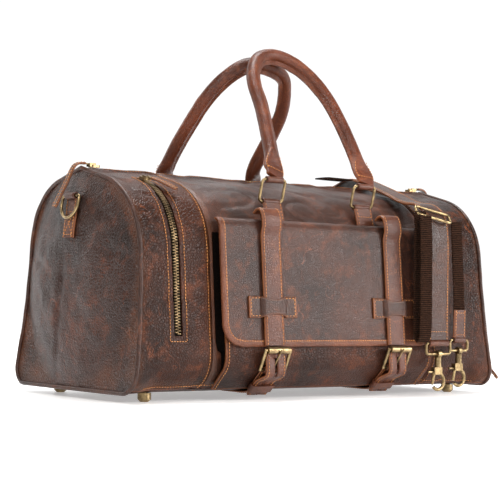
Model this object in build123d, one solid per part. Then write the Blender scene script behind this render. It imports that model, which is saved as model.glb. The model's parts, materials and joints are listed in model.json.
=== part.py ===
"""Leather travel duffel bag, built as separate panels, straps and fittings.

Millimetres, +Z up. X runs along the bag, the pocket and its flap face -Y, and the bag stands on its
four studs at Z = 0. Everything is drawn about the bag's own mid plane, then moved along Y by
BOX_CENTRE_SHIFT so that the origin is under the middle of the whole object's box.
"""

import os
from math import atan2, cos, degrees, hypot, pi, radians, sin, sqrt, tan

from build123d import *

# ---- the whole bag -------------------------------------------------------------------------------
BOX_CENTRE_SHIFT = 15.0
BASE_HALF_LENGTH = 292.6        # middle of the bag to the end seam, at the floor
END_LEAN = 48.9                 # the end seam leans in by this much, less END_LEAN_BACK, at the ridge
END_LEAN_BACK = 38.7
LEAN_HEIGHT = 277.0             # height over which the two lean terms are given
LEFT_END_BULGE = 22.0           # how far the left end panel swells past its seam
LEATHER = 2.0
LINING = 0.8
GAP = 0.35                      # air between pieces that only lie against each other

# ---- cross section, the same all along the bag ---------------------------------------------------
TOP_SLOPE = 14.5                # degrees, fall of the top from the zip to the shoulder
WALL_SLOPE = 5.2                # degrees, the walls spread towards the base
SHOULDER_Y = 33.0
SHOULDER_Z = 173.5
SHOULDER_RADIUS = 93.0
BASE_CORNER_RADIUS = 45.0
UNDERSIDE_Z = 11.0
BAND_SEAM_X = 178.5             # seam between the long centre panel and the bands at the ends
BASE_SEAM_Z = 15.0              # seam between the wall panels and the bottom panel

# ---- zips ----------------------------------------------------------------------------------------
TOP_SLOT_HALF = 6.5
TAPE_HALF = 15.0
TAPE = 0.8
TEETH_HALF = 3.0
MAIN_ZIP_HALF = 270.0
SIDE_ZIP_X = -228.0
SIDE_SLOT_HALF = 5.0
SIDE_TAPE_HALF = 10.0
SIDE_ZIP_LOW_Z = 78.0
SIDE_ZIP_TOP_Y = -45.0
SIDE_SLIDER_ANGLE = 15.0        # degrees from straight up, round the shoulder
END_ZIP_Z = 58.0
END_ZIP_HALF = 116.0
END_SLIDER_Y = -92.0
SLIDER_LENGTH = 12.0
SLIDER_WIDTH = 10.0
SLIDER_HEIGHT = 3.4
BAIL_RADIUS = 0.8
BAIL_X = -7.8                   # bail's centre, from the slider's middle and from the teeth's top
BAIL_Z = 4.5
TEETH_PROUD = 0.5
MAIN_SLIDER_X = 264.0
MAIN_SHANK = 18.0
MAIN_PULL_LENGTH = 60.0
MAIN_PULL_DROOP = 62.0
SIDE_PULL_LENGTH = 34.0
SIDE_PULL_DROOP = 12.0
SIDE_PULL_SKEW = 34.0
END_PULL_LENGTH = 48.0
END_PULL_LIFT = 35.0            # it stands off the bag's end and hangs aslant
END_PULL_SKEW = 46.0
END_PULL_ROOT = 5.0
END_TEETH_TOP = 3.6
PULL_WIDTH = 9.0
PULL_THICKNESS = 2.4

# ---- front pocket and flap -----------------------------------------------------------------------
POCKET_HALF = 169.0
POCKET_TOP_Z = 196.0
POCKET_LOW_Z = 44.5
FLAP_HALF = 173.0
FLAP_HINGE_Y = -124.6
FLAP_HINGE_Z = 219.0
FLAP_TOP_Y = -138.0
FLAP_TOP_Z = 205.0
FLAP_LOW_Y = -151.0
FLAP_LOW_Z = 66.0
FLAP_THICKNESS = 3.0
FLAP_CORNER = 28.0
BINDING = 8.0
STRAP_X = 99.4
STRAP_HALF = 14.9
STRAP_THICKNESS = 3.6
KEEPER_Z = 113.0
KEEPER_HALF_LENGTH = 36.5
KEEPER_HALF_HEIGHT = 13.25
KEEPER_WAIST = 9.5

# ---- buckles -------------------------------------------------------------------------------------
ROLLER_Y = -159.8
ROLLER_Z = 61.5
ROLLER_RADIUS = 4.1
ROLLER_BORE = 2.05
BAR_RADIUS = 2.0
CHAPE_THICKNESS = 2.4
TAIL_TOP_Z = 64.4
PRONG_LENGTH = 29.5
FRAME_HALF = 18.8
SLANT_Y = -114.0                # the underside of the pocket rises at 45 degrees from this line
SLANT_Z = 9.6
CHAPE_BAR_ALONG = 45.0           # the buckle's bar, up that slant and out from it
CHAPE_BAR_OUT = 4.7

# ---- handles, rings and tabs ---------------------------------------------------------------------
RING_X = 74.7
RING_HALF = 18.0
RING_WIRE = 1.8
RING_LOW = (-108.0, 243.0)
RING_HIGH = (-115.0, 270.0)
HANDLE_RADIUS = 8.6
HANDLE_APEX_Y = -9.4
HANDLE_APEX_Z = 443.0
HANDLE_TOP_HALF = 50.0
HANDLE_CROWN_RADIUS = 50.0
HANDLE_START = 14.0
TAB_INNER = 15.0                # ring tab's reach towards the middle and away from it, where the
TAB_OUTER = 9.2                 # flap's strap swings past
TAB_FOOT = (-118.4, 212.0)
TAB_THICKNESS = 3.4             # of every tab and of the shoulder strap: two leathers sewn together
RING_LOOP_HALF = 13.0
LOOP_RADIUS = 4.2               # leather folded round a ring's bar
LOOP_PLAY = 0.4
DRING_BAR_Z = 243.0
DRING_HALF = 19.0
DRING_DROP = 27.0
DRING_TILT = 11.0               # degrees, the ring hangs clear of its tab
DRING_WIRE = 2.0
DRING_TAB_HALF = 12.5
DRING_LOOP_HALF = 11.0
DRING_TAB_LOW_Z = 192.0

# ---- shoulder strap ------------------------------------------------------------------------------
FALL_X = 166.0
FALL_HALF = 19.0
FALL_Y = -161.0
FALL_LOW_Z = 74.0
LOOP_LOW_X = 104.0
FOLD_X = 125.0                  # left edge of the doubled webbing beside the pad
WEBBING = 2.2
WEBBING_HALF = 10.0
STRAP_LOOP_RADIUS = 4.0
STRAP_RING_WIRE = 1.9
ADJUSTER_HALF = 27.0
ADJUSTER_RISE = 7.0
ADJUSTER_TURN = 15.0            # degrees aslant
ADJUSTER_TILT = -40.0           # degrees, it leans back over the fold
ADJUSTER_PLACE = (157.5, -156.6, 236.6)
STRAP_RING_DROP = 14.0
RING_A_X = 166.0
RING_A_TOP_Z = 69.0
RING_A_HALF = 21.5
RING_B_X = 208.5
RING_B_Y = -156.0
RING_B_TOP_Z = 73.0
RING_B_HALF = 16.0
TAB_B_TOP_Z = 112.0
SWIVEL_RADIUS = 2.0
HOOK_RADIUS = 10.6
HOOK_WIRE = 2.3
GATE_PIVOT = 6.4
GATE_DROP = 13.5
GATE_PIN_RADIUS = 0.8

FEET_X = 248.0
FEET_Y = 96.0
FOOT_RADIUS = 8.0


# ---- shared geometry -----------------------------------------------------------------------------
def yz(y, z, x=0.0):
    return Vector(x, y, z)


def section_points(inset):
    """Tangent points of the outline's front half, moved inwards by inset."""
    slope, wall = radians(TOP_SLOPE), radians(WALL_SLOPE)
    shoulder = SHOULDER_RADIUS - inset
    corner = BASE_CORNER_RADIUS - inset
    outer_y = -SHOULDER_Y - SHOULDER_RADIUS * cos(wall)
    outer_z = SHOULDER_Z + SHOULDER_RADIUS * sin(wall)
    centre_z = UNDERSIDE_Z + BASE_CORNER_RADIUS
    run = (outer_z - BASE_CORNER_RADIUS * sin(wall) - centre_z) / cos(wall)
    centre_y = outer_y + BASE_CORNER_RADIUS * cos(wall) - run * sin(wall)
    top = (-SHOULDER_Y - shoulder * sin(slope), SHOULDER_Z + shoulder * cos(slope))
    middle = radians((90 + TOP_SLOPE - WALL_SLOPE) / 2)
    return {
        "ridge": (0.0, top[1] - top[0] * tan(slope)),
        "top": top,
        "shoulder": (-SHOULDER_Y - shoulder * sin(middle), SHOULDER_Z + shoulder * cos(middle)),
        "wall": (-SHOULDER_Y - shoulder * cos(wall), SHOULDER_Z + shoulder * sin(wall)),
        "corner": (centre_y - corner * cos(wall), centre_z + corner * sin(wall)),
        "round": (centre_y - corner * sin(radians(45)), centre_z - corner * cos(radians(45))),
        "base": (centre_y, centre_z - corner),
    }


def section(inset):
    """The closed outline of the bag as a face in the YZ plane."""
    p = section_points(inset)
    edges = []
    for side in (1, -1):
        q = {name: yz(side * y, z) for name, (y, z) in p.items()}
        edges.append(Line(q["ridge"], q["top"]))
        edges.append(ThreePointArc(q["top"], q["shoulder"], q["wall"]))
        edges.append(Line(q["wall"], q["corner"]))
        edges.append(ThreePointArc(q["corner"], q["round"], q["base"]))
    edges.append(Line(yz(*p["base"]), yz(-p["base"][0], p["base"][1])))
    return Face(Wire(edges))


def prism(face, low_x, high_x):
    """A YZ face drawn out along X."""
    return extrude(face.moved(Location((low_x, 0, 0))), amount=high_x - low_x, dir=(1, 0, 0))


def skin(outer, inner, low_x, high_x):
    """The bag's outline as a sleeve between two insets."""
    return prism(section(outer), low_x, high_x) - prism(section(inner), low_x - 1, high_x + 1)


def block(low, high):
    """A box from its lowest to its highest corner."""
    size = [h - l for l, h in zip(low, high)]
    return Location(low) * Box(*size, align=(Align.MIN, Align.MIN, Align.MIN))


def rod(start, end, radius):
    """A round bar between two points."""
    start, end = Vector(*start), Vector(*end)
    return extrude(Plane(start, z_dir=end - start) * Circle(radius), amount=(end - start).length)


def tube(start, end, radius, bore):
    return rod(start, end, radius) - rod(start, end, bore)


def ribbon(points, low_x, high_x):
    """A closed YZ polygon drawn out along X."""
    return prism(Face(Wire.make_polygon([yz(y, z) for y, z in points], close=True)), low_x, high_x)


def band(path, low_x, high_x, thickness):
    """A strap lying along a path of straight YZ runs, thickness to the left of its direction."""
    inner, outer = [], []
    for i, (y, z) in enumerate(path):
        before, after = path[max(i - 1, 0)], path[min(i + 1, len(path) - 1)]
        first = atan2(z - before[1], y - before[0]) if i else None
        second = atan2(after[1] - z, after[0] - y) if i < len(path) - 1 else None
        first = second if first is None else first
        second = first if second is None else second
        turn = (second - first + pi) % (2 * pi) - pi
        angle = first + turn / 2
        reach = thickness / cos(turn / 2)
        inner.append((y, z))
        outer.append((y - reach * sin(angle), z + reach * cos(angle)))
    return ribbon(inner + outer[::-1], low_x, high_x)


def end_x(z):
    """Distance of the end seam from the middle at height z."""
    share = z / LEAN_HEIGHT
    return BASE_HALF_LENGTH - END_LEAN * share + END_LEAN_BACK * share**2


def inside_end(offset):
    """Everything up to offset past the right end seam: a prism along Y."""
    low, high = -20.0, 320.0
    middle = (low + high) / 2
    control = 2 * end_x(middle) - (end_x(low) + end_x(high)) / 2
    curve = Bezier((end_x(low) + offset, 0, low), (control + offset, 0, middle),
                   (end_x(high) + offset, 0, high))
    edges = [curve, Line((end_x(high) + offset, 0, high), (0, 0, high)),
             Line((0, 0, high), (0, 0, low)), Line((0, 0, low), (end_x(low) + offset, 0, low))]
    face = Face(Wire(edges)).moved(Location((0, -260, 0)))
    return extrude(face, amount=520, dir=(0, 1, 0))


def mirror_x(shape):
    return mirror(shape, about=Plane.YZ)


def mirror_y(shape):
    return mirror(shape, about=Plane.XZ)


def both_ends(offset):
    right = inside_end(offset)
    return right + mirror_x(right)


# ---- body panels ---------------------------------------------------------------------------------
def body_panels():
    """Six wall panels: centre, left band and right band, in front and behind."""
    sleeve = skin(0, LEATHER, -300, 300)
    sleeve -= block((-310, -TOP_SLOT_HALF, 200), (310, TOP_SLOT_HALF, 300))
    sleeve -= block((-310, -200, -10), (310, 200, BASE_SEAM_Z))
    sleeve = sleeve & both_ends(-3.2)
    seam = GAP / 2
    spans = {
        "left_band": (-310, -BAND_SEAM_X - seam),
        "center_panel": (-BAND_SEAM_X + seam, BAND_SEAM_X - seam),
        "right_band": (BAND_SEAM_X + seam, 310),
    }
    parts = {}
    for name, (low, high) in spans.items():
        parts["front_" + name] = sleeve & block((low, -220, 0), (high, 0, 300))
        parts["back_" + name] = sleeve & block((low, 0, 0), (high, 220, 300))
    parts["front_left_band"] -= side_slot()
    return parts


def side_slot():
    """The opening that the side zip fills."""
    x, half = SIDE_ZIP_X, SIDE_SLOT_HALF
    return block((x - half, -220, SIDE_ZIP_LOW_Z), (x + half, SIDE_ZIP_TOP_Y, 300))


def bottom_panel():
    plate = skin(0, LEATHER, -300, 300) & both_ends(-3.2)
    plate &= block((-310, -200, 0), (310, 200, BASE_SEAM_Z - GAP))
    holes = [rod((x, y, 0), (x, y, 20), 2.3) for x, y in foot_places()]
    return plate - holes


def bulged_end(offset):
    """Everything to the right of the left end panel's swollen surface, moved inwards by offset."""
    rows = []
    for z in range(-20, 321, 20):
        height = max(0.0, sin(radians(180 * (z + 10) / 300)))
        row = []
        for y in range(-160, 161, 20):
            swell = LEFT_END_BULGE * max(0.0, 1 - (y / 138) ** 2) * height
            row.append(Vector(-end_x(z) - swell + offset, y, z))
        rows.append(row)
    face = Face.make_surface_from_array_of_points(rows)
    return extrude(face, amount=150, dir=(1, 0, 0))


def left_end_panel():
    slab = bulged_end(0) - bulged_end(LEATHER)
    return prism(section(3.6), -330, -200) & slab


def right_end_panel():
    slab = inside_end(0) - inside_end(-LEATHER)
    return prism(section(3.6), 200, 330) & slab


def end_piping():
    ring = skin(-2.4, 3.2, 200, 330)
    right = ring & (inside_end(2.6) - inside_end(-2.8))
    return Compound([right, mirror_x(right)])


def lining():
    """The cloth bag inside: a sleeve with closed ends and a slit under the zip."""
    outer, inner = LEATHER + TAPE + 3 * GAP, LEATHER + TAPE + 3 * GAP + LINING
    reach = both_ends(-6.0 - LEATHER)
    hollow = prism(section(inner), -300, 300) & both_ends(-6.0 - LEATHER - LINING)
    shell = (prism(section(outer), -300, 300) & reach) - hollow
    return shell - block((-MAIN_ZIP_HALF, -5, 200), (MAIN_ZIP_HALF, 5, 300))


def base_board():
    """Stiffener that lies on the lining's floor."""
    floor = UNDERSIDE_Z + LEATHER + TAPE + 3 * GAP + LINING + GAP
    board = block((-262, -84, floor), (262, 84, floor + 2.5))
    return fillet(board.edges().filter_by(Axis.Z), 12)


def foot_places():
    return [(x, y) for x in (-FEET_X, FEET_X) for y in (-FEET_Y, FEET_Y)]


def feet():
    """Four domed metal studs, each with a shank through the bottom panel."""
    high = UNDERSIDE_Z - GAP
    studs = []
    for x, y in foot_places():
        stud = rod((x, y, 0), (x, y, high), FOOT_RADIUS)
        stud = chamfer(stud.edges().sort_by(Axis.Z)[0], 3.0)
        studs.append(stud + rod((x, y, 5), (x, y, high + LEATHER + GAP), 2.0))
    return Compound(studs)


# ---- zips ----------------------------------------------------------------------------------------
def main_zip_tape():
    tape = skin(LEATHER + GAP, LEATHER + GAP + TAPE, -MAIN_ZIP_HALF - 8, MAIN_ZIP_HALF + 8)
    tape &= block((-300, -TAPE_HALF, 200), (300, TAPE_HALF, 300))
    return tape & both_ends(-8)


def main_zip_teeth():
    teeth = skin(-0.5, LEATHER + GAP / 2, -MAIN_ZIP_HALF, MAIN_ZIP_HALF)
    return teeth & block((-300, -TEETH_HALF, 200), (300, TEETH_HALF, 300))


def side_zip_tape():
    x, half = SIDE_ZIP_X, SIDE_TAPE_HALF
    tape = skin(LEATHER + GAP, LEATHER + GAP + TAPE, x - half, x + half)
    return tape & block((x - half, -220, SIDE_ZIP_LOW_Z - 5), (x + half, SIDE_ZIP_TOP_Y + 5, 300))


def side_zip_teeth():
    x, half = SIDE_ZIP_X, TEETH_HALF
    teeth = skin(-0.5, LEATHER + GAP / 2, x - half, x + half)
    return teeth & block((x - half, -220, SIDE_ZIP_LOW_Z + 1),
                         (x + half, SIDE_ZIP_TOP_Y - 1, 300))


def end_zip_place():
    """Frame of the end zip: local Z points out of the bag, local X along the zip, towards +Y."""
    slope = degrees(atan2(end_x(END_ZIP_Z + 5) - end_x(END_ZIP_Z - 5), 10))
    out = Vector(cos(radians(slope)), 0, -sin(radians(slope)))
    origin = Vector(end_x(END_ZIP_Z), 0, END_ZIP_Z) + out * GAP
    return Plane(origin, x_dir=(0, 1, 0), z_dir=out)


def end_zip_tape():
    return end_zip_place() * block((-END_ZIP_HALF - 4, -11, 0.5), (END_ZIP_HALF + 4, 11, 1.5))


def end_zip_teeth():
    return end_zip_place() * block((-END_ZIP_HALF, -TEETH_HALF, 1.5), (END_ZIP_HALF, TEETH_HALF, 3.6))


def slider():
    """Slider standing on teeth whose top is at Z = 0, bail at its -X end, travel along X."""
    half, wide = SLIDER_LENGTH / 2, SLIDER_WIDTH / 2
    plate = block((-half, -wide, GAP), (half, wide, SLIDER_HEIGHT))
    plate = fillet(plate.edges().filter_by(Axis.Z), 2.0)
    post = wide * 0.7
    for side in (-post, post):
        plate += block((-half - 2.4, side - 0.7, 1.2), (0, side + 0.7, BAIL_Z + 1.1))
    return plate + rod((BAIL_X, -post, BAIL_Z), (BAIL_X, post, BAIL_Z), BAIL_RADIUS)


def leather_strip(length):
    """The leather end of a pull, along -X from the origin."""
    half = PULL_WIDTH / 2
    strip = block((-length, -half, -PULL_THICKNESS / 2), (0, half, PULL_THICKNESS / 2))
    return fillet(strip.edges().filter_by(Axis.Z), 1.6)


def pull_eye():
    return tube((0, -2.4, 0), (0, 2.4, 0), 1.5, BAIL_RADIUS + 0.08)


def pull(shank, length, droop, skew=0.0):
    """Pull on a slider's bail: a metal shank to -X, then a leather strip bent down and aside."""
    arm = block((-shank, -2.0, -0.9), (-1.2, 2.0, 0.9))
    strip = Location((-shank + 1.5, 0, 0)) * (Rotation(0, -droop, skew) * leather_strip(length))
    return Location((BAIL_X, 0, BAIL_Z)) * (pull_eye() + arm + strip)


def end_pull():
    """Pull of the end zip: it stands out from the bag's end and hangs aslant."""
    link = block((-1.2, -2.4, 1.1), (1.2, 2.4, END_PULL_ROOT + 0.8))
    strip = Rotation(0, END_PULL_LIFT, END_PULL_SKEW) * leather_strip(END_PULL_LENGTH)
    strip = Location((0, 0, END_PULL_ROOT)) * strip
    return Location((BAIL_X, 0, BAIL_Z)) * (pull_eye() + link + strip)


def slider_parts():
    """Every slider with its pull, standing on its zip."""
    ridge = section_points(0)["ridge"][1] + TEETH_PROUD
    turn = radians(SIDE_SLIDER_ANGLE)
    reach = SHOULDER_RADIUS + TEETH_PROUD
    side_point = (SIDE_ZIP_X, -SHOULDER_Y - reach * sin(turn), SHOULDER_Z + reach * cos(turn))
    left = Location((-MAIN_SLIDER_X, 0, ridge))
    right = Location((MAIN_SLIDER_X, 0, ridge)) * Rotation(0, 0, 180)
    side = Location(side_point) * Rotation(SIDE_SLIDER_ANGLE, 0, 0) * Rotation(0, 0, 90)
    end = end_zip_place().location * Location((END_SLIDER_Y, 0, END_TEETH_TOP))
    return {
        "main_slider_left": left * slider(),
        "main_pull_left": left * pull(MAIN_SHANK, MAIN_PULL_LENGTH, MAIN_PULL_DROOP),
        "main_slider_right": right * slider(),
        "main_pull_right": right * pull(MAIN_SHANK, MAIN_PULL_LENGTH, MAIN_PULL_DROOP),
        "side_slider": side * slider(),
        "side_pull": side * pull(8.0, SIDE_PULL_LENGTH, SIDE_PULL_DROOP, SIDE_PULL_SKEW),
        "end_slider": end * slider(),
        "end_pull": end * end_pull(),
    }


# ---- front pocket and flap -----------------------------------------------------------------------
def flap_y(z, offset=0.0):
    """Y of the flap's outer face at height z, offset outwards."""
    share = (z - FLAP_LOW_Z) / (FLAP_TOP_Z - FLAP_LOW_Z)
    return FLAP_LOW_Y + share * (FLAP_TOP_Y - FLAP_LOW_Y) - offset


def slant(along, offset):
    """Point on the pocket's 45 degree underside, along it from the base, offset outwards."""
    root = sqrt(0.5)
    return (SLANT_Y - root * along - root * offset, SLANT_Z + root * along - root * offset)


def front_pocket():
    """A flat pocket, open at the top under the flap."""
    face = -FLAP_THICKNESS - 1.0
    inner = face - LEATHER
    top, low = POCKET_TOP_Z, POCKET_LOW_Z
    outer = ribbon([(flap_y(low, face), low), (flap_y(top, face), top), (-100, top),
                    (-100, UNDERSIDE_Z + 3), slant(3, 0)], -POCKET_HALF, POCKET_HALF)
    room = ribbon([(flap_y(low + 3, inner), low + 3), (flap_y(top + 5, inner), top + 5),
                   (-90, top + 5), (-90, 57.5), (-137.0, 57.5)],
                  -POCKET_HALF + LEATHER, POCKET_HALF - LEATHER)
    body = prism(section(-GAP), -POCKET_HALF - 5, POCKET_HALF + 5)
    return outer - body - room


def flap_path(inward):
    """The flap's outer face in YZ, moved inwards: from its seam, over the rolled top, down."""
    return [(FLAP_HINGE_Y, FLAP_HINGE_Z - inward), (-131.5, 217.2 - inward),
            (-136.3 + inward * 0.7, 212.4 - inward * 0.7), (FLAP_TOP_Y + inward, FLAP_TOP_Z),
            (FLAP_LOW_Y + inward, FLAP_LOW_Z)]


def flap_outline(inset):
    """The flap's front view as a prism along Y: square at the top, round at the bottom."""
    half = FLAP_HALF - inset
    plate = block((-half, -175, FLAP_LOW_Z + inset), (half, -118, 240))
    corners = plate.edges().filter_by(Axis.Y).sort_by(Axis.Z)[:2]
    return fillet(corners, FLAP_CORNER - inset)


def flap_panel():
    sheet = band(flap_path(0.3), -FLAP_HALF, FLAP_HALF, FLAP_THICKNESS - 0.6)
    return sheet & flap_outline(BINDING + 0.1)


def flap_binding():
    sheet = band(flap_path(0.0), -FLAP_HALF, FLAP_HALF, FLAP_THICKNESS)
    return sheet & (flap_outline(0) - flap_outline(BINDING))


def flap_straps():
    """Two straps, each sewn above the flap, arched over its top and lying down its front."""
    low = FLAP_LOW_Z + 0.5
    lift = STRAP_THICKNESS + 0.5
    path = [(-125.4, 226.6), (-130.5, 230.0), (-138.5, 228.5), (-143.6, 219.0),
            (flap_y(200, lift), 200.0), (flap_y(low, lift), low)]
    return on_both_straps(lambda: band(path, -STRAP_HALF, STRAP_HALF, STRAP_THICKNESS))


def flap_keepers():
    """Two bow-tie patches sewn to the flap, each with a bridge over its strap."""
    lean = degrees(atan2(FLAP_TOP_Y - FLAP_LOW_Y, FLAP_TOP_Z - FLAP_LOW_Z))
    reach = STRAP_THICKNESS + 0.5 + GAP
    inner = STRAP_HALF + 0.6

    def keeper():
        patch = block((-KEEPER_HALF_LENGTH, -2.2, -KEEPER_HALF_HEIGHT),
                      (KEEPER_HALF_LENGTH, -GAP, KEEPER_HALF_HEIGHT))
        arch = block((-inner - 2, -reach - 1.8, -KEEPER_WAIST), (inner + 2, -GAP, KEEPER_WAIST))
        patch = patch - block((-inner - 2, -9, -40), (inner + 2, 9, 40)) + arch
        patch -= block((-inner, -reach, -40), (inner, 9, 40))
        return Location((0, flap_y(KEEPER_Z), KEEPER_Z)) * (Rotation(-lean, 0, 0) * patch)

    return on_both_straps(keeper)


# ---- buckles -------------------------------------------------------------------------------------
def on_both_straps(make):
    return Compound([Location((x, 0, 0)) * make() for x in (-STRAP_X, STRAP_X)])


def bar_along_x(half, y, z, radius):
    return rod((-half, y, z), (half, y, z), radius)


def sleeve_along_x(half, y, z, radius, bore):
    return tube((-half, y, z), (half, y, z), radius, bore)


def chape():
    """Strap sewn under the bag and folded round the buckle's bar, with a slot for the prong."""
    half = STRAP_HALF - 1.0
    y, z = chape_bar()
    path = [(-88.0, UNDERSIDE_Z - GAP), slant(1.9, GAP), slant(CHAPE_BAR_ALONG - 1, GAP)]
    strap = band(path, -half, half, CHAPE_THICKNESS)
    strap += sleeve_along_x(half, y, z, 4.2, BAR_RADIUS + 0.2)
    strap -= bar_along_x(half + 1, y, z, BAR_RADIUS + 0.2)
    return strap - block((-2.8, y - 8, z - 8), (2.8, y + 8, z + 9))


def chape_bar():
    """Centre of the buckle's bar in YZ."""
    return slant(CHAPE_BAR_ALONG, CHAPE_BAR_OUT)


def strap_tail():
    """Free end of the flap strap: behind the roller, over the bar and down through the keeper."""
    low, high = CHAPE_THICKNESS + 2 * GAP, 10.6
    top = TAIL_TOP_Z
    path = [slant(3, low), slant(26, low), slant(38, high), slant(46, high), (flap_y(top, 0.6), top)]
    tail = band(path, -STRAP_HALF, STRAP_HALF, STRAP_THICKNESS - 0.4)
    bar_z = chape_bar()[1]
    return tail - block((-2.8, -165, bar_z - 7.0), (2.8, -140, bar_z + 14.0))


def keeper_loop():
    """Fixed loop that holds the tail down, sewn to the edges of the chape."""
    inner = STRAP_HALF + 0.4
    near, far = GAP, CHAPE_THICKNESS + STRAP_THICKNESS + 3 * GAP
    outer_path = [slant(8, near), slant(19, near)]
    cover = band(outer_path, -inner - 1.8, inner + 1.8, far + 1.6 - near)
    hollow = band([slant(7, near - 1), slant(20, near - 1)], -inner, inner, far + 1)
    return cover - hollow


def buckle_frame():
    """Bar, two arms and the axle that the roller turns on."""
    axle = bar_along_x(FRAME_HALF, ROLLER_Y, ROLLER_Z, BAR_RADIUS)
    bar = chape_bar()
    frame = axle + bar_along_x(FRAME_HALF, *bar, BAR_RADIUS)
    for x in (-FRAME_HALF, FRAME_HALF):
        frame += rod((x, ROLLER_Y, ROLLER_Z), (x, *bar), BAR_RADIUS)
        for y, z in ((ROLLER_Y, ROLLER_Z), bar):
            frame += Location((x, y, z)) * Sphere(BAR_RADIUS)
    return frame


def buckle_roller():
    return sleeve_along_x(FRAME_HALF - BAR_RADIUS - 0.4, ROLLER_Y, ROLLER_Z, ROLLER_RADIUS, ROLLER_BORE)


def buckle_prong():
    """Tongue on the bar, through the tail's hole, resting against the roller."""
    y, z = chape_bar()
    reach = hypot(ROLLER_Y - y, ROLLER_Z - z)
    aside = atan2(ROLLER_RADIUS + 1.4, reach)
    angle = atan2(ROLLER_Z - z, ROLLER_Y - y) + aside
    tip = (y + PRONG_LENGTH * cos(angle), z + PRONG_LENGTH * sin(angle))
    arm = rod((0, y + 2.6 * cos(angle), z + 2.6 * sin(angle)), (0, *tip), 1.1)
    return sleeve_along_x(2.2, y, z, 3.5, BAR_RADIUS + 0.06) + arm


# ---- handles, their rings and tabs ---------------------------------------------------------------
def wire_loop(corners, radius, wire):
    """A closed wire ring through four corners in 3D, with rounded corners."""
    path = FilletPolyline(*corners, radius=radius, close=True)
    return sweep(Plane(path @ 0, z_dir=path % 0) * Circle(wire), path=path)


def handle_ring(x):
    low, high = RING_LOW, RING_HIGH
    left, right = x - RING_HALF, x + RING_HALF
    corners = [(left, *low), (right, *low), (right, *high), (left, *high)]
    return wire_loop(corners, 4.5, RING_WIRE)


def handle_rings():
    return Compound([handle_ring(x) for x in (-RING_X, RING_X)])


def handle_tabs():
    """Leather tabs that hold the rings, sewn behind the flap in front and alike behind."""
    y, z = RING_LOW
    half = RING_LOOP_HALF
    tab = band([TAB_FOOT, (y - 2.0, z - 3.0)], -TAB_INNER, TAB_OUTER, TAB_THICKNESS)
    tab += sleeve_along_x(half, y, z, LOOP_RADIUS, RING_WIRE + LOOP_PLAY)
    tab += block((-half, y - 3.6, z - 5.0), (half, y + 2.4, z - 2.4))
    tab -= bar_along_x(RING_HALF, y, z, RING_WIRE + LOOP_PLAY)
    right = Location((RING_X, 0, 0)) * tab
    front = [right, mirror_x(right)]
    return Compound([*front, *[mirror_y(tab) for tab in front]])


def handle():
    """Rolled leather handle leaning in to the middle, with a flat loop at each ring."""
    y, z = RING_HIGH
    rise = Vector(0, HANDLE_APEX_Y - y, HANDLE_APEX_Z - z)
    plane = Plane(Vector(0, y, z), x_dir=(1, 0, 0), z_dir=Vector(1, 0, 0).cross(rise))
    top = rise.length
    path = plane * FilletPolyline((-RING_X, HANDLE_START), (-HANDLE_TOP_HALF, top),
                                  (HANDLE_TOP_HALF, top), (RING_X, HANDLE_START),
                                  radius=HANDLE_CROWN_RADIUS)
    grip = sweep(Plane(path @ 0, z_dir=path % 0) * Circle(HANDLE_RADIUS), path=path)
    for x in (-RING_X, RING_X):
        left, right = x - RING_LOOP_HALF, x + RING_LOOP_HALF
        bore = RING_WIRE + LOOP_PLAY
        loop = tube((left, 0, 0), (right, 0, 0), LOOP_RADIUS, bore)
        cheek = block((left, 2.4, -2.6), (right, HANDLE_START + 6, 2.6))
        cheek -= rod((left - 5, 0, 0), (right + 5, 0, 0), bore)
        grip += plane * (loop + cheek)
    return grip


# ---- D rings at the ends -------------------------------------------------------------------------
def end_surface_x(z, bulge):
    """Distance of the end panel from the middle on its centre line, at height z."""
    return end_x(z) + bulge * sin(radians(180 * (z + 10) / 300))


def dring_bar_x(bulge):
    return end_surface_x(DRING_BAR_Z, bulge) + 5.2


def dring(bulge):
    """D-shaped wire ring on the right end, hanging from its straight bar."""
    x, z = dring_bar_x(bulge), DRING_BAR_Z
    out = Vector(sin(radians(DRING_TILT)), 0, -cos(radians(DRING_TILT)))
    plane = Plane(Vector(x, 0, z), x_dir=(0, 1, 0), z_dir=Vector(0, 1, 0).cross(out))
    half = DRING_HALF
    path = plane * FilletPolyline((-half, 0), (half, 0), (half, DRING_DROP), (-half, DRING_DROP),
                                  radius=[4, 4, half - 0.5, half - 0.5], close=True)
    return sweep(Plane(path @ 0, z_dir=path % 0) * Circle(DRING_WIRE), path=path)


def dring_tab(bulge):
    """Leather strap sewn down the end, folded round the ring's bar."""
    x, z = dring_bar_x(bulge), DRING_BAR_Z
    low = end_surface_x(DRING_TAB_LOW_Z, bulge) + 0.6
    high = end_surface_x(z - 4, bulge) + 0.6
    face = Wire.make_polygon([(low, 0, DRING_TAB_LOW_Z), (low + TAB_THICKNESS, 0, DRING_TAB_LOW_Z),
                              (high + TAB_THICKNESS, 0, z - 2), (high, 0, z - 2)], close=True)
    slab = extrude(Face(face).moved(Location((0, -DRING_TAB_HALF, 0))), amount=2 * DRING_TAB_HALF,
                   dir=(0, 1, 0))
    loop = rod((x, -DRING_LOOP_HALF, z), (x, DRING_LOOP_HALF, z), LOOP_RADIUS)
    return slab + loop - rod((x, -DRING_HALF, z), (x, DRING_HALF, z), DRING_WIRE + LOOP_PLAY)


# ---- shoulder strap ------------------------------------------------------------------------------
def strap_over_top():
    """The strap's stretch across the top of the bag, with a slack loop behind the handles."""
    low, high = FALL_X - FALL_HALF, FALL_X + FALL_HALF
    path = [(-135.2, 246.8), (-124.0, 250.0), (-104.0, 252.0), (-70.0, 267.0), (-8.0, 287.0),
            (8.0, 287.0), (56.0, 272.0)]
    strap = band(path, low, high, TAB_THICKNESS)
    return strap + block((LOOP_LOW_X, -9, 287.6), (low + 2, 22, 289.8))


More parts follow.
